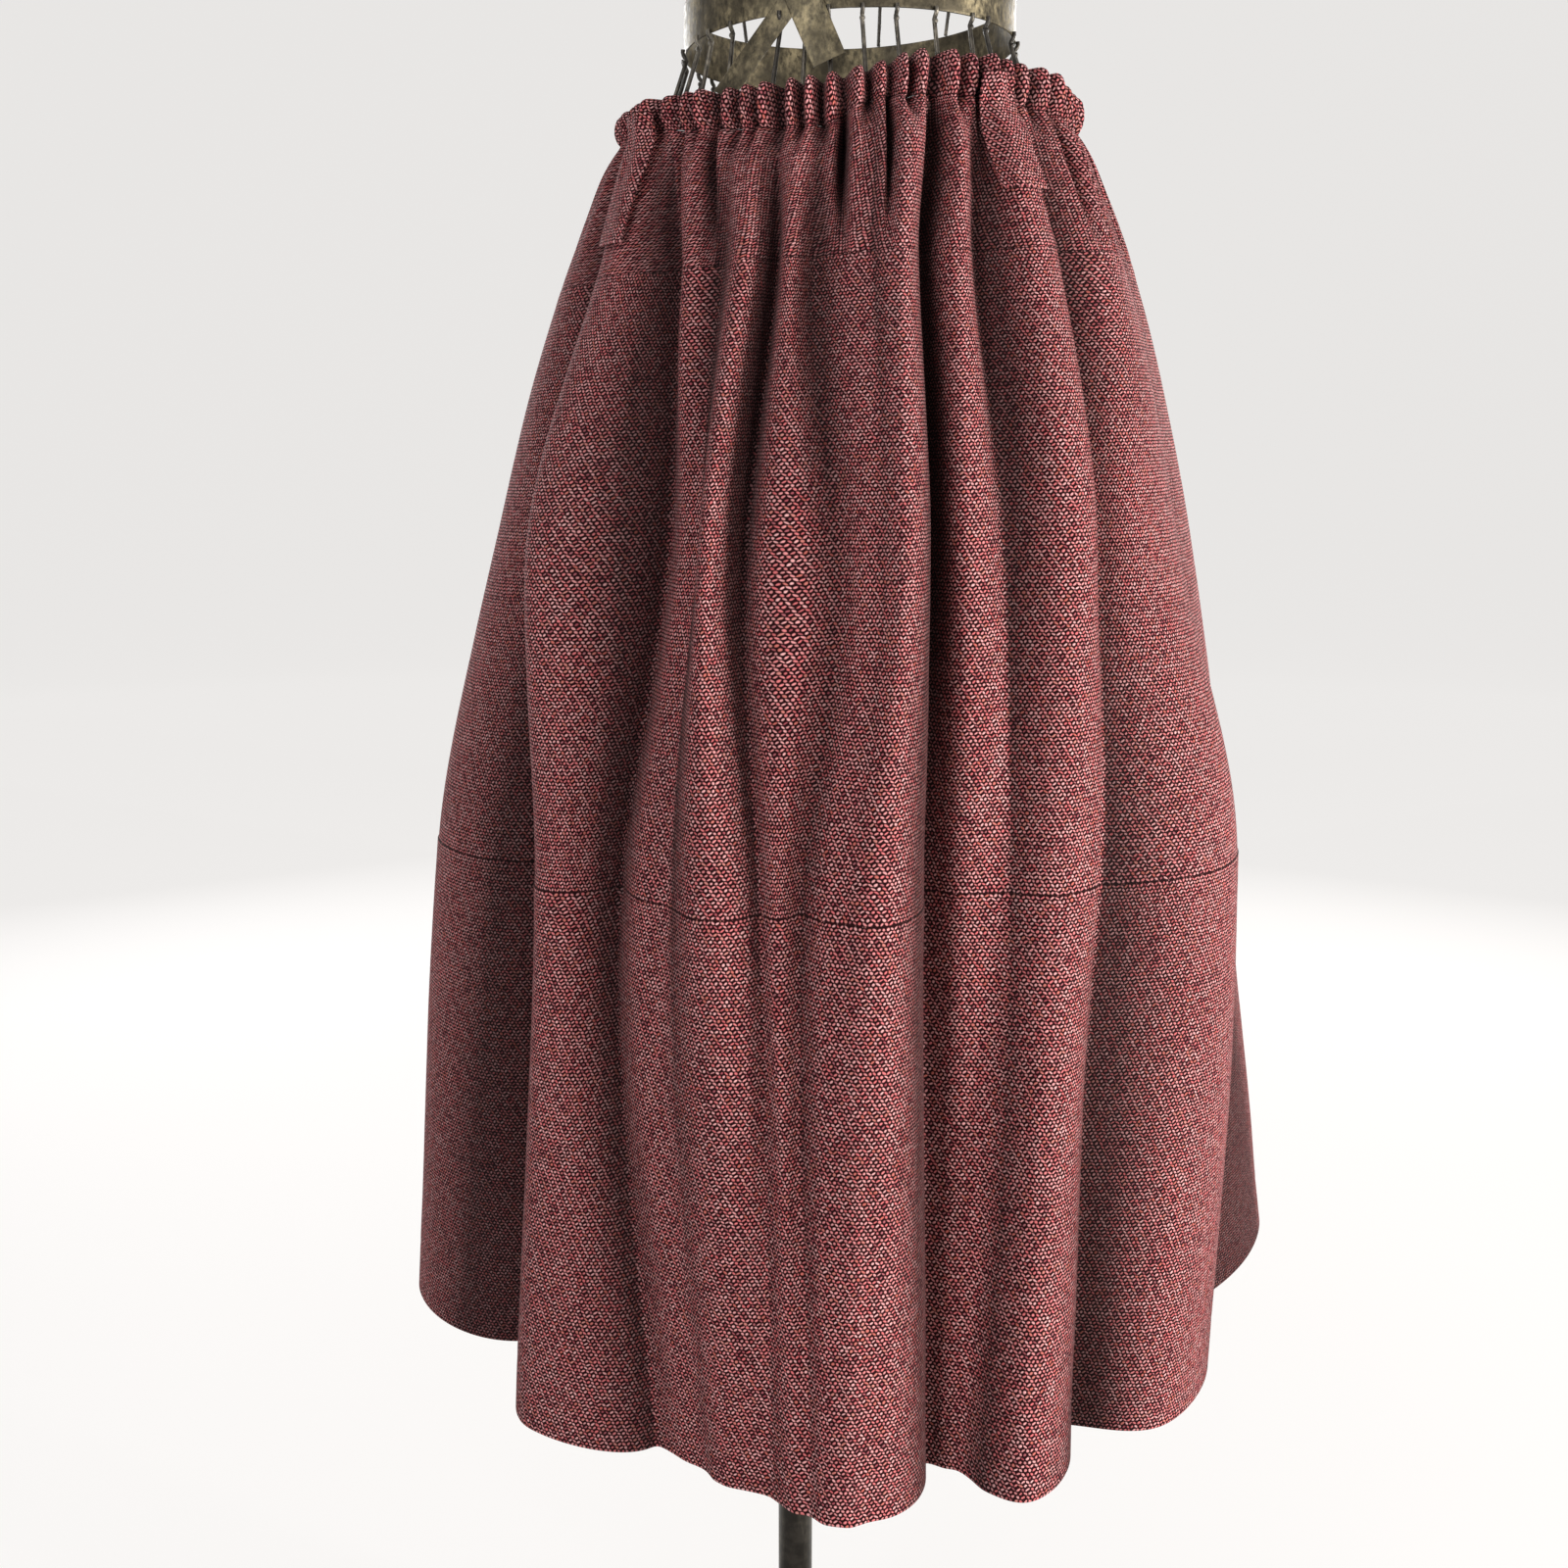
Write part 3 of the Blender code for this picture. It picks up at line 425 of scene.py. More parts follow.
def ring_places():
    """Places of the columns: evenly along the cloth, half by the hip line and half by the hem."""
    fine = np.linspace(-0.5, ROWS - 0.5, 12001)
    total = 0
    for level in (HIP, HEM):
        angle, reach = skirt_line(fine, level)
        length = summed(np.hypot(np.diff(reach * np.sin(angle)), np.diff(reach * np.cos(angle))))
        total = total + length / length[-1]
    return np.interp(np.arange(RING) / RING * 2, total, fine)


PLACES = ring_places()
FRONT_END = int(np.searchsorted(PLACES, len(FOLDS) - 0.5))


def gather_wave():
    """For each column: the number of its gather, how far through it the column is, its height."""
    low = waist_share(math.radians(-90.0))
    high = waist_share(math.radians(90.0))
    share = waist_share(skirt_line(PLACES, WAIST)[0])
    share = (share - low) % 1.0 + low
    number = np.zeros(RING)
    within = np.zeros(RING)
    start_number = 0
    for count, start, end in ((FRONT_GATHERS, low, high), (BACK_GATHERS, high, low + 1)):
        edges = np.arange(count + 1) + GATHER_SHIFT * uneven(np.arange(count + 1), 5.0)
        edges[0] = 0
        edges[-1] = count
        along = (share - start) / (end - start) * count
        chosen = (share >= start) & (share < end)
        index = np.clip(np.searchsorted(edges, along, side="right") - 1, 0, count - 1)
        number = np.where(chosen, start_number + index, number)
        t = (along - edges[index]) / (edges[index + 1] - edges[index])
        within = np.where(chosen, t, within)
        start_number += count
    return number, within


GATHER_NUMBER, GATHER_WITHIN = gather_wave()


def gathers(lean=0.0, sharp=GATHER_SHARP, merge=0.0):
    """Height of the gathers at each column. A lean moves each one a little to the side.

    Where they merge, every second valley or so deepens and those between them fill up.
    """
    t = GATHER_WITHIN + lean * uneven(GATHER_NUMBER, 17.0) * np.sin(math.pi * GATHER_WITHIN) ** 2
    deeper = np.where((GATHER_NUMBER % 2 == 0) != (uneven(GATHER_NUMBER, 29.0) > 0.6), 0.8, -0.9)
    valley = 1 + merge * deeper * (1 + 0.2 * uneven(GATHER_NUMBER, 30.0))
    wave = 1 - 2 * valley * np.abs(np.sin(math.pi * t)) ** sharp
    after = (GATHER_NUMBER + 1) % (FRONT_GATHERS + BACK_GATHERS)
    here = 1 + GATHER_SPREAD * uneven(GATHER_NUMBER, 11.0)
    there = 1 + GATHER_SPREAD * uneven(after, 11.0)
    blend = ease(t)
    return GATHER * wave * (here * (1 - blend) + there * blend)


def gather_share(height):
    """How high the gathers are at a height. Soon below the yoke's seam there are none."""
    return from_table(GATHER_FADE, height) if height > GATHERS_END else 0.0


def below_waist(height, reach):
    """From 0 at the waist line to 1 that far below it."""
    return min(1.0, max(0.0, (WAIST - height) / reach))


def calm(angle):
    """Share of the gathers that is left beside and under the flat strips."""
    turn = np.degrees((angle + math.pi) % (2 * math.pi) - math.pi)
    share = np.ones_like(turn)
    for middle in TUCK_MIDDLES:
        share = share - CALM_DEPTH * np.exp(-(((turn - middle) / CALM_WIDTH) ** 2))
    return share


def soften(x, y, length):
    """The closed curve with its corners rounded off over about that length."""
    spacing = np.hypot(np.diff(x, append=x[:1]), np.diff(y, append=y[:1])).mean()
    size = max(length / spacing, 0.5)
    reach = np.arange(-int(4 * size) - 1, int(4 * size) + 2)
    weight = np.exp(-0.5 * (reach / size) ** 2)
    kernel = np.zeros(RING)
    kernel[reach % RING] = weight / weight.sum()
    spectrum = np.fft.rfft(kernel)
    return (np.fft.irfft(np.fft.rfft(curve) * spectrum, RING) for curve in (x, y))


def level_ring(height, push=0.0, gather_part=None, lean=0.0):
    """All columns of one level line, as an array of points."""
    level = min(height, WAIST)
    angle, reach = skirt_line(PLACES, level)
    length = SOFTEN if level < WAIST else WAIST_SOFTEN
    x, y = soften(reach * np.sin(angle), reach * np.cos(angle), length)
    angle = np.unwrap(np.arctan2(x, y))
    if gather_part is None:
        gather_part = gather_share(height) * calm(angle) ** below_waist(height, CALM_START)
        push = push - PINCH * math.exp((level - WAIST) / PINCH_REACH)
    wave = gathers(lean, merge=below_waist(height, MERGE_REACH))
    return placed(angle, np.hypot(x, y) + push + gather_part * wave, height)


def painted_fold_shade(height, gather_part=None):
    """How deep each column lies in a fold or in a gather, from 0 to 1: the share of painted shade put into
    the cloth's colour there.
    """
    level = min(height, WAIST)
    reach = through(LEVELS, REACHES.T, level)
    row, _, down = between_rows(PLACES)
    shade = down * np.abs(reach[(row + 1) % ROWS] - reach[row]) / PAINTED_SHADE_DEPTH
    if gather_part is None:
        gather_part = gather_share(height) * calm(skirt_line(PLACES, level)[0])
    wave = gathers(merge=below_waist(height, MERGE_REACH)) / GATHER
    return np.clip(shade + GATHER_PAINTED_SHADE * gather_part * (1 - wave), 0, 1)


def ripples(points):
    """Small soft waves over a tier, as cloth that has been hung has. Height first, then round."""
    along = np.arange(points.shape[1]) / RING
    wave = 0
    for number, (waves, tall, seed) in enumerate(RIPPLES):
        drift = wander(points[:, :, 2] / tall + 3.1 * number, seed) * 0.7
        wave = wave + wander(along[None, :] * waves + drift, seed + 5) / (1 + number * 0.5)
    return wave * RIPPLE


def normals(points):
    """Outward direction at each point of a grid, height first (top down), then round."""
    across = np.gradient(points, axis=1)
    down = np.gradient(points, axis=0)
    out = np.cross(down, across)
    return out / np.linalg.norm(out, axis=2, keepdims=True)


# ------------------------ meshes
def add_mesh(name, points, faces, look, sharp=50.0, uv=None, fold=None):
    """One mesh object. uv, where given, holds one (across, up) place in metres per point."""
    mesh = bpy.data.meshes.new(name)
    points = np.asarray(points, float).reshape(-1, 3)
    mesh.from_pydata(points.tolist(), [], faces)
    mesh.update()
    if uv is not None:
        corner = np.empty(len(mesh.loops), np.int32)
        mesh.loops.foreach_get("vertex_index", corner)
        layer = mesh.uv_layers.new(name="cloth")
        layer.data.foreach_set("uv", np.asarray(uv, float).reshape(-1, 2)[corner].reshape(-1))
    # The fold attribute holds how much painted shade each point gets in the cloth's colour.
    if fold is not None:
        shade = mesh.attributes.new("fold", "FLOAT", "POINT")
        shade.data.foreach_set("value", np.asarray(fold, np.float32).reshape(-1))
    mesh.materials.append(look)
    made = bpy.data.objects.new(name, mesh)
    stage.collection.objects.link(made)
    mesh.shade_smooth()
    mesh.set_sharp_from_angle(angle=math.radians(sharp))
    return made


def ring_faces(rows, columns, closed_rows, closed_columns):
    """Quads between the points of a grid, rows first."""
    row = np.arange(rows if closed_rows else rows - 1)[:, None]
    column = np.arange(columns if closed_columns else columns - 1)[None, :]
    low = row * columns + column
    side = row * columns + (column + 1) % columns
    down = ((row + 1) % rows) * columns + column
    far = ((row + 1) % rows) * columns + (column + 1) % columns
    return np.stack([low, down, far, side], -1).reshape(-1, 4).tolist()


def cloth_uv(points):
    """Place of each point in the cloth. Its threads run evenly, so the lengths are evened out."""
    across = summed(step_lengths(points, 1))
    middle = points.shape[1] // 2
    across = across - across[:, middle : middle + 1]
    down = summed(step_lengths(points).mean(axis=1))
    terms = np.stack([np.ones(len(down)), down], -1)
    across = terms @ np.linalg.lstsq(terms, across, rcond=None)[0]
    return np.stack(np.broadcast_arrays(across, -down[:, None]), -1)


def shell(name, outer, thickness, look, fold):
    """A closed wall on a grid of outer points, height first from the top down, with round edges."""
    rows, columns = outer.shape[:2]
    thick = np.asarray(thickness, float)
    thick = thick[:, :, None] if thick.ndim == 2 else thick.reshape(-1, 1, 1)
    inner = outer - normals(outer) * thick
    uv = cloth_uv(outer)

    def edge(row, away):
        """Half round over the wall's edge, from the outside to the inside."""
        middle = (outer[row] + inner[row]) / 2
        half = (outer[row] - inner[row]) / 2
        size = np.linalg.norm(half, axis=1, keepdims=True)
        beyond = outer[row] - outer[away]
        beyond = beyond / np.linalg.norm(beyond, axis=1, keepdims=True) * size
        steps = np.arange(1, EDGE_STEPS) / EDGE_STEPS * math.pi
        return [middle + half * math.cos(step) + beyond * math.sin(step) * 0.9 for step in steps]

    def section(over, under, foot, top):
        """Rows over the outside, round the foot, up the inside and round the top."""
        return np.array([*over, *foot, *under[::-1], *top])

    grid = section(outer, inner, edge(rows - 1, rows - 2), edge(0, 1)[::-1])
    turns = EDGE_STEPS - 1
    places = section(uv, uv, [uv[-1]] * turns, [uv[0]] * turns)
    # fold holds the painted shade of each outer point, carried over the edges and inside.
    folds = section(fold, fold, [fold[-1]] * turns, [fold[0]] * turns)
    count = len(grid)
    faces = ring_faces(count, columns, True, False)
    apex = count - 1 - turns // 2
    for column, flip in ((0, False), (columns - 1, True)):
        sides = [((apex + 1 + k) % count, (apex - 1 - k) % count) for k in range((count - 2) // 2)]
        last = (sides[-1][0] + 1) % count
        loops = [[apex, *sides[0]], [sides[-1][0], last, sides[-1][1]]]
        loops += [[a[0], b[0], b[1], a[1]] for a, b in zip(sides, sides[1:])]
        for loop in loops:
            corners = [corner * columns + column for corner in loop]
            faces.append(corners[::-1] if flip else corners)
    return add_mesh(name, grid, faces, look, uv=places, fold=folds)


def closed_tube(rows, columns):
    """Faces of a tube of points with both its ends closed."""
    faces = ring_faces(rows, columns, False, True)
    faces.append(list(range(columns)))
    faces.append([(rows - 1) * columns + step for step in range(columns)][::-1])
    return faces


def tube(points, radius, sides=8, closed=False):
    """Points and quads of a round wire along a path."""
    path = np.asarray(points, float)
    if closed:
        ahead = np.roll(path, -1, 0) - np.roll(path, 1, 0)
    else:
        ahead = np.gradient(path, axis=0)
    ahead = ahead / np.linalg.norm(ahead, axis=1, keepdims=True)
    side = np.zeros_like(path)
    guide = np.array([0.0, 0.0, 1.0]) if abs(ahead[0, 2]) < 0.8 else np.array([0.0, 1.0, 0.0])
    for index, way in enumerate(ahead):
        guide = guide - way * guide.dot(way)
        guide = guide / np.linalg.norm(guide)
        side[index] = guide
    other = np.cross(ahead, side)
    turn = np.arange(sides) / sides * 2 * math.pi
    size = np.asarray(radius, float).reshape(-1, 1, 1)
    round_ = side[:, None] * np.cos(turn)[None, :, None] + other[:, None] * np.sin(turn)[None, :, None]
    grid = path[:, None] + round_ * size
    faces = ring_faces(len(path), sides, True, True) if closed else closed_tube(len(path), sides)
    return grid.reshape(-1, 3), faces


def joined(name, parts, look, sharp=40.0):
    """One object from several (points, faces) parts."""
    faces = []
    start = 0
    for points, quads in parts:
        faces += [[start + corner for corner in face] for face in quads]
        start += len(points)
    return add_mesh(name, np.concatenate([points for points, _ in parts]), faces, look, sharp)


def lathe(name, profile, look, steps=72, middle=(0.0, 0.0), sharp=35.0):
    """A solid of revolution from (radius, height) rows, listed upwards, with flat ends."""
    turn = np.arange(steps) / steps * 2 * math.pi
    rows = [
        np.stack([middle[0] + r * np.cos(turn), middle[1] + r * np.sin(turn), np.full(steps, h)], -1)
        for r, h in profile
    ]
    faces = [face[::-1] for face in closed_tube(len(rows), steps)]
    return add_mesh(name, np.concatenate(rows), faces, look, sharp)


def rounded(radius, low, high, bevel, steps):
    """Profile rows of an upright side with its top edge rounded."""
    rows = [(radius, low)]
    for step in range(steps + 1):
        a = math.pi / 2 * step / steps
        rows.append((radius - bevel * (1 - math.cos(a)), high - bevel * (1 - math.sin(a))))
    return rows


# ------------------------ materials
class Look:
    """A material with short calls for its nodes."""

    def __init__(self, name):
        self.made = bpy.data.materials.new(name)
        self.made.use_nodes = True
        self.tree = self.made.node_tree
        self.shader = self.tree.nodes["Principled BSDF"]

    def node(self, kind, settings=None, **inputs):
        """A new node. An input is named by its label or, as i0, i1 and so on, by its number."""
        node = self.tree.nodes.new(kind)
        for key, value in (settings or {}).items():
            setattr(node, key, value)
        for key, value in inputs.items():
            self.put(node.inputs[int(key[1:]) if key[1:].isdigit() else key.replace("_", " ")], value)
        return node

    def put(self, socket, value):
        if isinstance(value, bpy.types.NodeSocket):
            self.tree.links.new(value, socket)
        else:
            socket.default_value = value

    def surface(self, **inputs):
        for key, value in inputs.items():
            self.put(self.shader.inputs[key.replace("_", " ")], value)

    def math(self, operation, first, second=0.0, third=0.0):
        node = self.node("ShaderNodeMath", {"operation": operation}, i0=first, i1=second, i2=third)
        return node.outputs[0]

    def noise(self, vector, scale, detail=3.0, rough=0.55):
        node = self.node("ShaderNodeTexNoise", Vector=vector, Scale=scale, Detail=detail, Roughness=rough)
        return node.outputs["Fac"]

    def spread(self, value, low, high, to_low=0.0, to_high=1.0):
        inputs = {"i0": value, "i1": low, "i2": high, "i3": to_low, "i4": to_high}
        return self.node("ShaderNodeMapRange", {"clamp": True}, **inputs).outputs[0]

    def mix(self, share, first, second, kind="MIX"):
        settings = {"data_type": "RGBA", "blend_type": kind}
        return self.node("ShaderNodeMix", settings, i0=share, i6=first, i7=second).outputs[2]

    def dim(self, colour, share):
        """The colour times a value."""
        grey = self.node("ShaderNodeCombineColor", Red=share, Green=share, Blue=share)
        return self.mix(1.0, colour, grey.outputs[0], "MULTIPLY")

    def bump(self, height, distance, strength=1.0):
        node = self.node("ShaderNodeBump", Strength=strength, Distance=distance, Height=height)
        return node.outputs[0]

    def place(self):
        return self.node("ShaderNodeTexCoord").outputs["Object"]

    def stretched(self, *scale):
        return self.node("ShaderNodeMapping", Vector=self.place(), Scale=scale).outputs[0]


def rgb(red, green, blue):
    """Linear colour of 0 to 255 display values."""
    values = [value / 255 for value in (red, green, blue)]
    line = [v / 12.92 if v <= 0.04045 else ((v + 0.055) / 1.055) ** 2.4 for v in values]
    return (*line, 1.0)


GROUND = rgb(34, 1, 4)
ROSE = rgb(236, 118, 120)
PALE_ROSE = rgb(255, 188, 186)
RUST = rgb(196, 104, 76)
PLUM = rgb(160, 74, 96)
DULL_RED = rgb(150, 50, 55)
SHEEN = rgb(255, 205, 205)
DRIFT_ACROSS = 0.0016  # the threads wander by up to half of this to each side
DRIFT_UP = 0.0014
GRAIN_SIZE = (0.38, 0.47)  # reach of a grain from its middle, in repeats of the weave
GRAIN_LEAN = 0.45
FOLD_PAINTED_SHADE = 0.26  # share of the colour that is left under the painted shade at the foot of a deep fold


def weave_look():
    """Thick barleycorn weave: staggered pale grains on a nearly black maroon ground, darkened by painted
    shade in the folds and between the gathers.
    """
    look = Look("weave")
    calc = look.math
    uv = look.node("ShaderNodeUVMap", {"uv_map": "cloth"}).outputs[0]
    place = look.place()
    parts = look.node("ShaderNodeSeparateXYZ", Vector=uv)
    drift = calc("SUBTRACT", look.noise(place, 160.0, 2.0), 0.5)
    drift_up = calc("SUBTRACT", look.noise(place, 143.0, 2.0), 0.5)
    across = calc("MULTIPLY_ADD", drift, DRIFT_ACROSS, parts.outputs[0])
    up = calc("MULTIPLY_ADD", drift_up, DRIFT_UP, parts.outputs[1])
    row = calc("DIVIDE", up, GRAIN_HIGH)
    row_number = calc("FLOOR", row)
    odd = calc("FLOORED_MODULO", row_number, 2.0)
    column = calc("MULTIPLY_ADD", odd, 0.5, calc("DIVIDE", across, GRAIN_WIDE))
    column_number = calc("FLOOR", column)
    cell = look.node("ShaderNodeCombineXYZ", X=column_number, Y=row_number, Z=0.0).outputs[0]
    chance = look.node("ShaderNodeTexWhiteNoise", {"noise_dimensions": "2D"}, Vector=cell)
    chances = look.node("ShaderNodeSeparateColor", Color=chance.outputs["Color"])
    # Offset of the point from the middle of its grain, in repeats of the weave.
    x = calc("SUBTRACT", calc("FRACT", column), 0.5)
    y = calc("SUBTRACT", calc("FRACT", row), 0.5)
    # Neighbouring grains lean to different sides.
    half_row = calc("FLOORED_MODULO", calc("FLOOR", calc("DIVIDE", row_number, 2.0)), 2.0)
    turn = calc("FLOORED_MODULO", calc("ADD", column_number, half_row), 2.0)
    lean = calc("MULTIPLY_ADD", turn, 2 * GRAIN_LEAN, -GRAIN_LEAN)
    lean = calc("MULTIPLY_ADD", calc("SUBTRACT", chances.outputs[2], 0.5), 0.7, lean)
    x = calc("MULTIPLY_ADD", y, lean, x)
    wide = calc("MULTIPLY", calc("POWER", calc("ABSOLUTE", x), 2.0), 1.25)
    tall = calc("MULTIPLY", calc("POWER", calc("ABSOLUTE", y), 2.0), 0.85)
    far = calc("SQRT", calc("ADD", wide, tall))
    size = look.spread(chance.outputs["Value"], 0.0, 1.0, *GRAIN_SIZE)
    grain = look.spread(calc("DIVIDE", far, size), 1.0, 0.55)
    # Some of the grains are duller and redder, and a few are rust or plum.
    dull = look.spread(chances.outputs[0], 0.0, 0.4, 0.42, 0.0)
    dull = calc("MULTIPLY_ADD", turn, 0.10, dull)
    pale = look.mix(look.spread(chances.outputs[1], 0.0, 1.0), ROSE, PALE_ROSE)
    warm = calc("MULTIPLY", calc("GREATER_THAN", chances.outputs[0], 0.93), 0.55)
    cool = calc("MULTIPLY", calc("LESS_THAN", chances.outputs[0], 0.06), 0.6)
    pale = look.mix(cool, look.mix(warm, pale, RUST), PLUM)
    colour = look.mix(grain, GROUND, look.mix(dull, pale, DULL_RED))
    broad = look.spread(look.noise(place, 9.0, 3.0), 0.3, 0.7, 0.92, 1.06)
    # Painted shade: the fold attribute darkens the colour in the folds and between the gathers; broad is
    # the cloth's own uneven tone.
    fold = look.node("ShaderNodeAttribute", {"attribute_name": "fold"}).outputs["Fac"]
    shade = calc("MULTIPLY", broad, look.spread(fold, 0.12, 1.0, 1.0, FOLD_PAINTED_SHADE))
    height = calc("MULTIPLY_ADD", look.noise(place, 900.0, 1.0), 0.25, grain)
    look.surface(
        Base_Color=look.dim(colour, shade),
        Roughness=look.spread(grain, 0.0, 1.0, 0.95, 0.78),
        Sheen_Weight=0.05,
        Sheen_Roughness=0.5,
        Sheen_Tint=SHEEN,
        Specular_IOR_Level=0.15,
        Normal=look.bump(height, 0.0005, 0.8),
    )
    return look.made


def metal_look(name, dark, light, scale, rough, metallic, streak, wear):
    """Aged metal: dark patina with brighter rubbed places, fine scratches and stains."""
    look = Look(name)
    place = look.place()
    along = look.stretched(1.0, 1.0, streak)
    patch = look.noise(along, scale, 6.0, 0.62)
    fine = look.noise(along, scale * 9, 4.0, 0.6)
    rub = look.math("MULTIPLY", look.spread(patch, wear, wear + 0.22), look.spread(fine, 0.35, 0.6))
    stain = look.spread(look.noise(place, scale * 2.7, 5.0, 0.7), 0.42, 0.58, 0.55, 1.0)
    look.surface(
        Base_Color=look.dim(look.mix(rub, dark, light), stain),
        Metallic=metallic,
        Roughness=look.spread(fine, 0.3, 0.7, rough - 0.12, rough + 0.15),
        Normal=look.bump(look.math("ADD", fine, patch), 0.0004, 0.5),
    )
    return look.made


def wood_look(name):
    """Dark wood with its grain along x."""
    look = Look(name)
    along = look.stretched(1.0, 9.0, 9.0)
    ring = look.node("ShaderNodeTexWave", Vector=along, Scale=6.0, Distortion=5.0, Detail=3.0)
    fine = look.noise(along, 60.0, 5.0)
    share = look.math("MULTIPLY_ADD", fine, 0.5, look.math("MULTIPLY", ring.outputs["Fac"], 0.5))
    look.surface(
        Base_Color=look.mix(share, rgb(34, 20, 12), rgb(88, 54, 32)),
        Roughness=look.spread(fine, 0.3, 0.7, 0.42, 0.6),
        Normal=look.bump(share, 0.0004, 0.4),
    )
    return look.made


# ------------------------ cloth pieces
WEAVE = weave_look()


def columns_of(half, stride):
    """Column numbers of the front or the back half, with both seam columns."""
    start, end = (0, FRONT_END) if half == "front" else (FRONT_END, RING)
    return np.array([*range(start, end, stride), end]) % RING


def heights_between(top, foot, spacing):
    """Level heights from the top down, closer at both ends."""
    count = round((top - foot) / spacing)
    inner = [top + (foot - top) * step / count for step in range(1, count)]
    inner = [height for height in inner if foot + EDGE_ROW * 4 < height < top - EDGE_ROW * 4]
    near_top = [top, top - EDGE_ROW, top - EDGE_ROW * 3]
    return np.array(near_top + inner + [foot + EDGE_ROW * 3, foot + EDGE_ROW, foot])


def open_seam(grid):
    """Half the clear space of the side seam is taken from each end of the grid."""
    grid = grid.copy()
    for end, near in ((0, 1), (-1, -2)):
        way = grid[:, near] - grid[:, end]
        way = way / np.linalg.norm(way, axis=1, keepdims=True)
        grid[:, end] = grid[:, end] + way * SEAM_GAP / 2
    return grid


def finish_cloth(made, node):
    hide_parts(node)
    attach(made, "root")


def arc(height, columns):
    return float(step_lengths(level_ring(height)[columns]).sum())


def yoke(half):
    columns = columns_of(half, 1)
    heights = heights_between(WAIST, YOKE_SEAM + SEAM_GAP, YOKE_ROWS)
    leans = 0.10 * np.sin((WAIST - heights) * 70)
    rows = [level_ring(height, lean=lean)[columns] for height, lean in zip(heights, leans)]
    grid = open_seam(np.array(rows))
    # painted shade of the folds and gathers, put into the cloth's colour
    fold = np.array([painted_fold_shade(height)[columns] for height in heights])
    made = shell(f"cloth_yoke_{half}", grid, CLOTH, WEAVE, fold)
    top, foot = arc(WAIST, columns), arc(YOKE_SEAM, columns)
    finish_cloth(made, f"yoke_{half}")


def tier(name, half, top, foot, step, hem=False):
    columns = columns_of(half, 2 if half == "front" else 3)
    heights = heights_between(top, foot, TIER_ROWS)
    pushes = step * np.exp((heights - top) / STEP_REACH)
    grid = np.array([level_ring(height, push)[columns] for height, push in zip(heights, pushes)])
    edge_calm = np.minimum(1, (top - heights) / 0.03) * np.minimum(1, (heights - foot) / 0.05 + 0.4)
    grid = grid + normals(grid) * (ripples(grid) * edge_calm[:, None])[:, :, None]
    thick = np.full(len(heights), CLOTH)
    if hem:
        thick = CLOTH + (HEM_CLOTH - CLOTH) / (1 + np.exp((heights - HEM_LINE) / HEM_EDGE))
        groove = HEM_GROOVE * np.exp(-(((heights - HEM_LINE) / HEM_GROOVE_WIDE) ** 2))
        grid = grid - normals(grid) * groove[:, None, None]
    grid = open_seam(grid)
    # painted shade of the folds and gathers, put into the cloth's colour
    fold = np.array([painted_fold_shade(height)[columns] for height in heights])
    made = shell(f"cloth_{name}_{half}", grid, thick, WEAVE, fold)
    wide, wider = arc(top - 0.001, columns), arc(foot, columns)
    finish_cloth(made, f"{name}_{half}")


def casing():
    """The gathered tube of cloth round the elastic, a closed ring."""
    scallop = CASING_SCALLOP * gathers() / GATHER
    rows = []
    for share, push in CASING_OUTSIDE:
        part = CASING_PART + CASING_SWELL * math.sin(math.pi * share)
        rows.append(casing_ring(share, push * CASING_BULGE, part, scallop * share))
    for share, push in CASING_INSIDE:
        lift = scallop * share - (CASING_DIP if share == 1.0 else 0.0)
        rows.append(casing_ring(share, push / 1000 - CASING_WALL, CASING_PART, lift))
    grid = np.array(rows[::-1])
    outer_line = grid[8]
    across = summed(step_lengths(outer_line))
    down = summed(step_lengths(grid[:, 0]))
    uv = np.stack(np.broadcast_arrays(across[None, :], -down[:, None]), -1)
    faces = ring_faces(len(rows), RING, True, True)
    # painted shade between the casing's gathers, put into the cloth's colour
    fold = np.broadcast_to(painted_fold_shade(CASING_TOP, 1.1), grid.shape[:2])
    made = add_mesh("cloth_casing", grid, faces, WEAVE, 75, uv, fold)
    finish_cloth(made, "waist_casing")


def casing_ring(share, push, part, lift):
    """One line round the casing, at a share of its height."""
    angle, middle = skirt_line(PLACES, WAIST)
    reach = middle + push + part * gathers(CASING_LEAN * (share - 0.3), CASING_SHARP)
    return placed(angle, reach, CASING_FOOT + (CASING_TOP - CASING_FOOT) * share, lift)


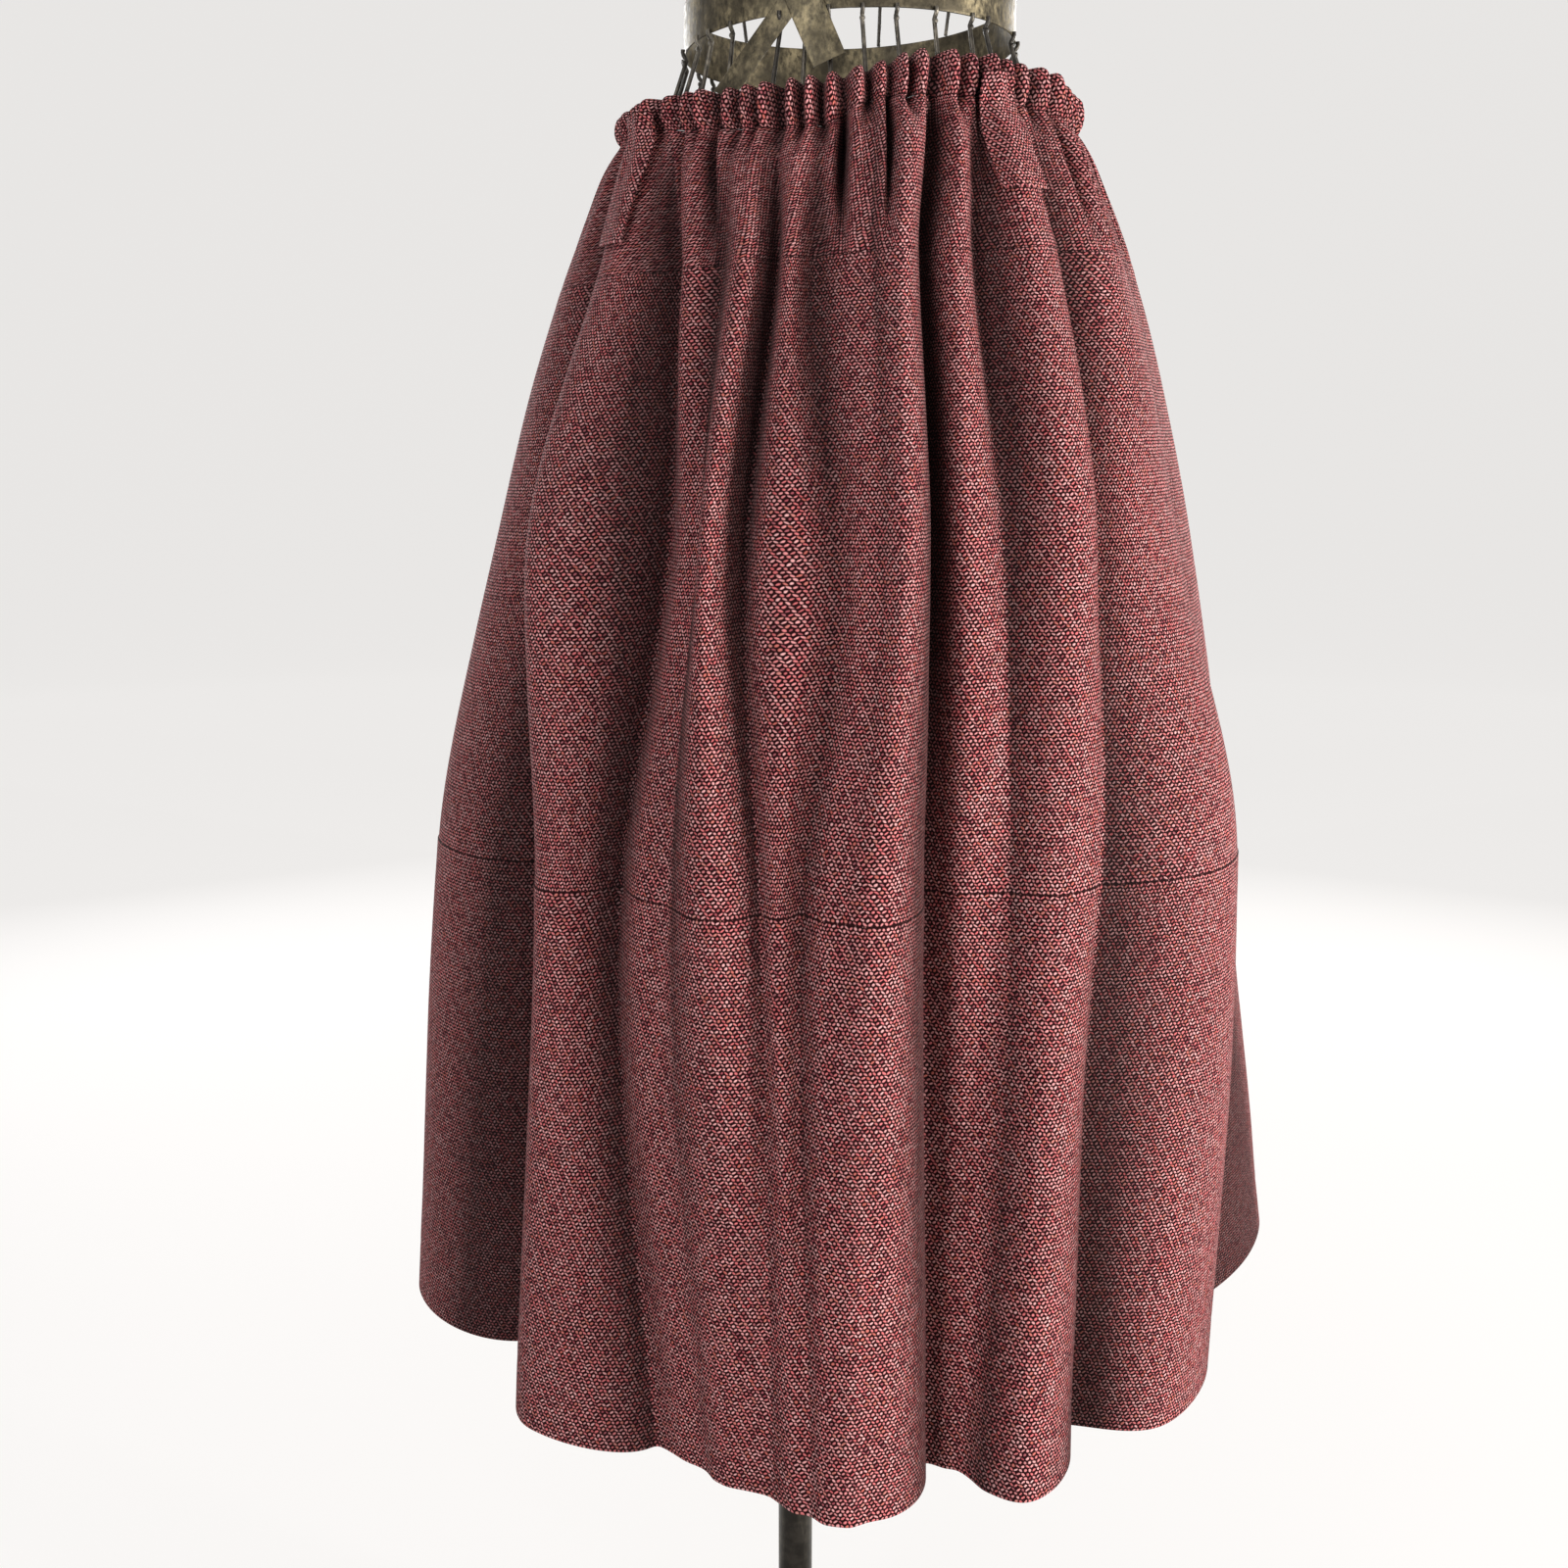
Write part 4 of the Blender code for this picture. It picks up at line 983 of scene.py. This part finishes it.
def tuck(row):
    """A flat strip stitched over the casing and the top of the yoke, its free edge standing off."""
    name, top_free, top_far, foot_free, foot_far, top, foot = row
    across = np.linspace(0, 1, 26)
    thin = 1 - TUCK_THIN * across
    window = np.linspace(-0.85, 0.85, 15) / 6
    grid = []
    for height in np.linspace(top, foot, 40):
        down = (top - height) / (top - foot)
        free = top_free + (foot_free - top_free) * down
        far = top_far + (foot_far - top_far) * down
        near = np.radians(free + (far - free) * (across[:, None] + window))
        under = np.zeros(len(across))
        for level in height + TUCK_SPAN * np.linspace(-1, 1, 5):
            on_casing = (CASING_BULGE + PINCH, CASING_GATHER)
            line = level_ring(level) if level < WAIST else level_ring(level, *on_casing)
            x = line[:, 0] - AXIS_X
            angle = np.arctan2(x, -line[:, 1])
            order = np.argsort(angle)
            reach = np.hypot(x, line[:, 1])
            under = np.maximum(under, np.interp(near, angle[order], reach[order]).max(axis=1))
        reach = under + TUCK_LIFT * (1 - 0.7 * across) + TUCK_WALL * thin
        grid.append(placed(np.radians(free + (far - free) * across), reach, height))
    grid = np.array(grid)
    for _ in range(6):
        grid[1:-1] = (grid[:-2] + 2 * grid[1:-1] + grid[2:]) / 4
        grid[:, 1:-1] = (grid[:, :-2] + 2 * grid[:, 1:-1] + grid[:, 2:]) / 4
    if top_free > top_far:
        grid = grid[:, ::-1]
        thin = thin[::-1]
    wall = np.broadcast_to(TUCK_WALL * thin, grid.shape[:2])
    made = shell(f"cloth_{name}", grid, wall, WEAVE, np.zeros(grid.shape[:2]))
    finish_cloth(made, name)


casing()
for side in ("front", "back"):
    yoke(side)
    tier("middle_tier", side, YOKE_SEAM, TIER_SEAM + SEAM_GAP, YOKE_STEP)
    tier("lower_tier", side, TIER_SEAM, HEM, TIER_STEP, hem=True)
for row in TUCKS:
    tuck(row)


# ------------------------ the dress form
BRASS = metal_look("band_patina", rgb(74, 67, 53), rgb(150, 137, 108), 44.0, 0.46, 0.8, 0.6, 0.42)
STEEL = metal_look("wire_steel", rgb(58, 54, 49), rgb(140, 132, 118), 60.0, 0.36, 0.8, 0.3, 0.44)
STAND = metal_look("stand_steel", rgb(52, 48, 43), rgb(140, 132, 116), 26.0, 0.38, 0.85, 0.16, 0.44)
WOOD = wood_look("dark_wood")


def finish_hard(made, node):
    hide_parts(node)
    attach(made, "root")


def band_foot(x, y):
    return BAND_FOOT + BAND_CLIMB_X * (x - AXIS_X) + BAND_CLIMB_Y * y


def round_axis(angle, reach):
    return AXIS_X + reach * np.sin(angle), -reach * np.cos(angle)


def strip_section(count, wide_power, tall_power):
    """Places across (-0.5 to 0.5) and along (0 to 1) a strip's section with rounded corners."""
    turns = [index / count * 2 * math.pi for index in range(count)]
    wide = [0.5 * math.copysign(abs(math.cos(turn)) ** wide_power, math.cos(turn)) for turn in turns]
    tall = [0.5 * math.copysign(abs(math.sin(turn)) ** tall_power, math.sin(turn)) for turn in turns]
    return [(across, along + 0.5) for across, along in zip(wide, tall)]


def waist_band():
    """The form's metal belt: a rolled strip with soft edges."""
    steps = 220
    dent = 0.0003
    angle = np.arange(steps) / steps * 2 * math.pi
    rows = []
    for wide, tall in strip_section(16, 0.5, 0.12):
        out = BAND_WALL * (wide - 0.5) + dent * (wander(angle * 9 / math.pi + 4 * tall, 31.0) - 1)
        x, y = round_axis(angle, oval(angle, BAND_SIDE, BAND_DEPTH) + out)
        rows.append(np.stack([x, y, band_foot(x, y) + BAND_HEIGHT * tall], -1))
    faces = [face[::-1] for face in ring_faces(len(rows), steps, True, True)]
    made = add_mesh("band", rows, faces, BRASS, 60)
    finish_hard(made, "form_waist_band")


def cage_line(angle, table, share):
    """Reach of a cage at a share of its height, at an angle."""
    table = np.array(table)
    shares = (table[:, 0] - table[:, 0].min()) / np.ptp(table[:, 0])
    side, depth = through(shares, table[:, 1:], share)
    return oval(angle, side, depth)


def upright(angle, table, top_height, foot_height, steps):
    """Points of a wire up a cage at one angle."""
    points = []
    for share in np.linspace(0, 1, steps):
        x, y = round_axis(angle, cage_line(angle, table, share) - WIRE / 2)
        foot = foot_height(x, y)
        points.append((x, y, foot + (top_height(x, y) - foot) * share))
    return np.array(points)


def level_wire(table, share, height, radius):
    """A wire round a cage at a share of its height."""
    angle = np.arange(96) / 96 * 2 * math.pi
    x, y = round_axis(angle, cage_line(angle, table, share) - radius)
    return tube(np.stack([x, y, height(x, y)], -1), radius, closed=True)


def hip_cage():
    parts = []
    radius = WIRE / 2

    def top(x, y):
        return band_foot(x, y) - HOOK_DROP

    def foot(x, y):
        return np.full_like(x, CAGE_FOOT + radius)

    for index in range(HIP_WIRES):
        angle = (index + 0.5) * 2 * math.pi / HIP_WIRES
        points = upright(angle, CAGE, top, foot, 26)
        lean = WIRE_LEAN * 0.4 * uneven(index, 41.0) * np.linspace(0, 1, len(points)) ** 3
        points[:, 0] += lean * math.cos(angle)
        points[:, 1] += lean * math.sin(angle)
        out = np.array([math.sin(angle), -math.cos(angle), 0.0])
        up = np.array([0.0, 0.0, 1.0])
        # The end is pinched flat and hooks over the belt's lower edge from outside.
        hook = [points[-1] + out * away + up * rise for away, rise in HOOK]
        parts.append(tube(np.concatenate([points, hook]), radius * 1.06, 10))
        knob = [points[-1] + out * KNOB_OUT + up * rise for rise, _ in KNOB]
        parts.append(tube(knob, radius * np.array([share for _, share in KNOB])))
    parts.append(level_wire(CAGE, 0.0, foot, radius))
    made = joined("hip_wires", parts, STEEL)
    finish_hard(made, "form_hip_cage")


def torso_cage():
    parts = []
    radius = WIRE / 2
    neck = BAND_FOOT + BAND_HEIGHT + TORSO[-1][0]

    def foot(x, y):
        return band_foot(x, y) + BAND_HEIGHT + SEAM_GAP

    for index in range(TORSO_WIRES):
        angle = (index + 0.5) * 2 * math.pi / TORSO_WIRES
        parts.append(tube(upright(angle, TORSO, lambda x, y: neck - WIRE_SINK, foot, 60), radius))
    for share, thick in ((0.45, radius), (0.9955, radius * 1.25)):
        parts.append(level_wire(TORSO, share, lambda x, y: foot(x, y) + (neck - foot(x, y)) * share, thick))
    made = joined("torso_wires", parts, STEEL)
    finish_hard(made, "form_torso_cage")


def strap(row):
    """A flat end of the belt, with soft edges, that lies on the cage's front."""
    name, top_x, top, foot_x, foot, width, layers = row
    run = np.array([foot_x - top_x, foot - top])
    along = run / np.hypot(*run)
    across = np.array([-along[1], along[0]])
    clear = STRAP_CLEAR + layers * (STRAP_WALL + STRAP_GAP)
    section = strip_section(20, 0.16, 0.5)
    rows = []
    for step in np.linspace(0, 1, 24):
        line = []
        for wide, tall in section:
            x, z = np.array([top_x, top]) + run * step + across * width * wide
            side, depth = from_table(CAGE, z)
            bulge = math.sqrt(1 - ((x - AXIS_X) / side) ** 2)
            line.append((x, -depth * bulge - clear - STRAP_WALL * tall, z))
        rows.append(line)
    faces = closed_tube(len(rows), len(section))
    made = add_mesh(name.replace("form_", "belt_"), rows, faces, BRASS, 50)
    finish_hard(made, name)


waist_band()
hip_cage()
torso_cage()
for row in STRAPS:
    strap(row)

neck_radius = TORSO[-1][1]
neck_height = BAND_FOOT + BAND_HEIGHT + TORSO[-1][0] + SEAM_GAP
cap_rows = [(neck_radius, neck_height), (neck_radius, neck_height + CAP_SIDE)]
for step in range(1, 9):
    turn = step / 8 * math.pi / 2
    side = neck_radius - CAP_EDGE * (1 - math.cos(turn))
    cap_rows.append((side, neck_height + CAP_SIDE + CAP_DOME * math.sin(turn)))
finish_hard(lathe("neck_cap", cap_rows, WOOD, 64, (AXIS_X, 0.0)), "form_neck_cap")

collar_top = BASE_HEIGHT + COLLAR_HEIGHT
base_rows = rounded(BASE_RADIUS, 0.0, BASE_HEIGHT, BASE_BEVEL, 6)
base_rows += [(COLLAR_RADIUS + COLLAR_FOOT, BASE_HEIGHT), (COLLAR_RADIUS, BASE_HEIGHT + COLLAR_FOOT)]
base_rows += rounded(COLLAR_RADIUS, BASE_HEIGHT + 2 * COLLAR_FOOT, collar_top, COLLAR_BEVEL, 5)
finish_hard(lathe("base", base_rows, STAND, 120), "form_base")
pole_top = CAGE_FOOT - FLOOR_PLATE - 2 * SEAM_GAP
pole_rows = [(POLE_RADIUS, collar_top + SEAM_GAP), (POLE_RADIUS, pole_top)]
finish_hard(lathe("pole", pole_rows, STAND, 64), "form_pole")

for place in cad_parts["form_floor_plate"].material_slots:
    place.material = WOOD


# ------------------------ floor, light and camera
def stage_look(name, colour):
    """A matt ground with a glow of its own."""
    look = Look(name)
    share = look.spread(look.noise(look.place(), 1.2, 2.0), 0.3, 0.7, 0.96, 1.0)
    look.surface(
        Base_Color=look.dim(colour, share),
        Roughness=0.9,
        Emission_Color=rgb(250, 248, 246),
        Emission_Strength=0.80,
    )
    return look.made


def backdrop():
    """Pale floor that curves up into a pale dome, so that every side has the same ground.

    It lights neither the cloth nor its hollows.
    """
    rows = [(0.01, 0.0), (FLOOR_RADIUS / 2, 0.0), (FLOOR_RADIUS, 0.0)]
    quarter = [(math.cos(step / 24 * math.pi), math.sin(step / 24 * math.pi)) for step in range(1, 13)]
    bend = DOME_RADIUS - FLOOR_RADIUS
    rows += [(FLOOR_RADIUS + bend * sine, DOME_FOOT * (1 - cosine)) for cosine, sine in quarter]
    rows += [(DOME_RADIUS * cosine + 0.01, DOME_FOOT + DOME_HEIGHT * sine) for cosine, sine in quarter]
    made = lathe("backdrop", rows, stage_look("pale_ground", rgb(120, 118, 117)), 96, sharp=80)
    made.visible_diffuse = False
    made.visible_shadow = False


def light(name, azimuth, height, away, wide, tall, power, colour, aim):
    """An area light round the skirt. Azimuth 0 is in front, 90 is at +X."""
    data = bpy.data.lights.new(name, "AREA")
    data.shape = "RECTANGLE"
    data.size = wide
    data.size_y = tall
    data.energy = power
    data.color = colour
    made = bpy.data.objects.new(name, data)
    made.location = (*round_axis(math.radians(azimuth), away), height)
    way = Vector((AXIS_X, 0.0, aim)) - made.location
    made.rotation_euler = way.to_track_quat("-Z", "Y").to_euler()
    stage.collection.objects.link(made)


backdrop()
for row in LIGHTS:
    light(*row)

world = bpy.data.worlds.new("studio")
stage.world = world
world.use_nodes = True
sky = world.node_tree.nodes["Background"]
sky.inputs["Color"].default_value = SKY
sky.inputs["Strength"].default_value = SKY_STRENGTH

camera = bpy.data.objects.new("camera", bpy.data.cameras.new("camera"))
stage.collection.objects.link(camera)
camera.data.sensor_width = SENSOR
camera.data.lens = LENS
camera.data.clip_start = 0.01
camera.location = CAMERA_PLACE
camera.rotation_euler = (math.radians(90 - CAMERA_DOWN), 0, 0)
stage.camera = camera
stage.view_settings.view_transform = "Standard"
stage.view_settings.look = "None"
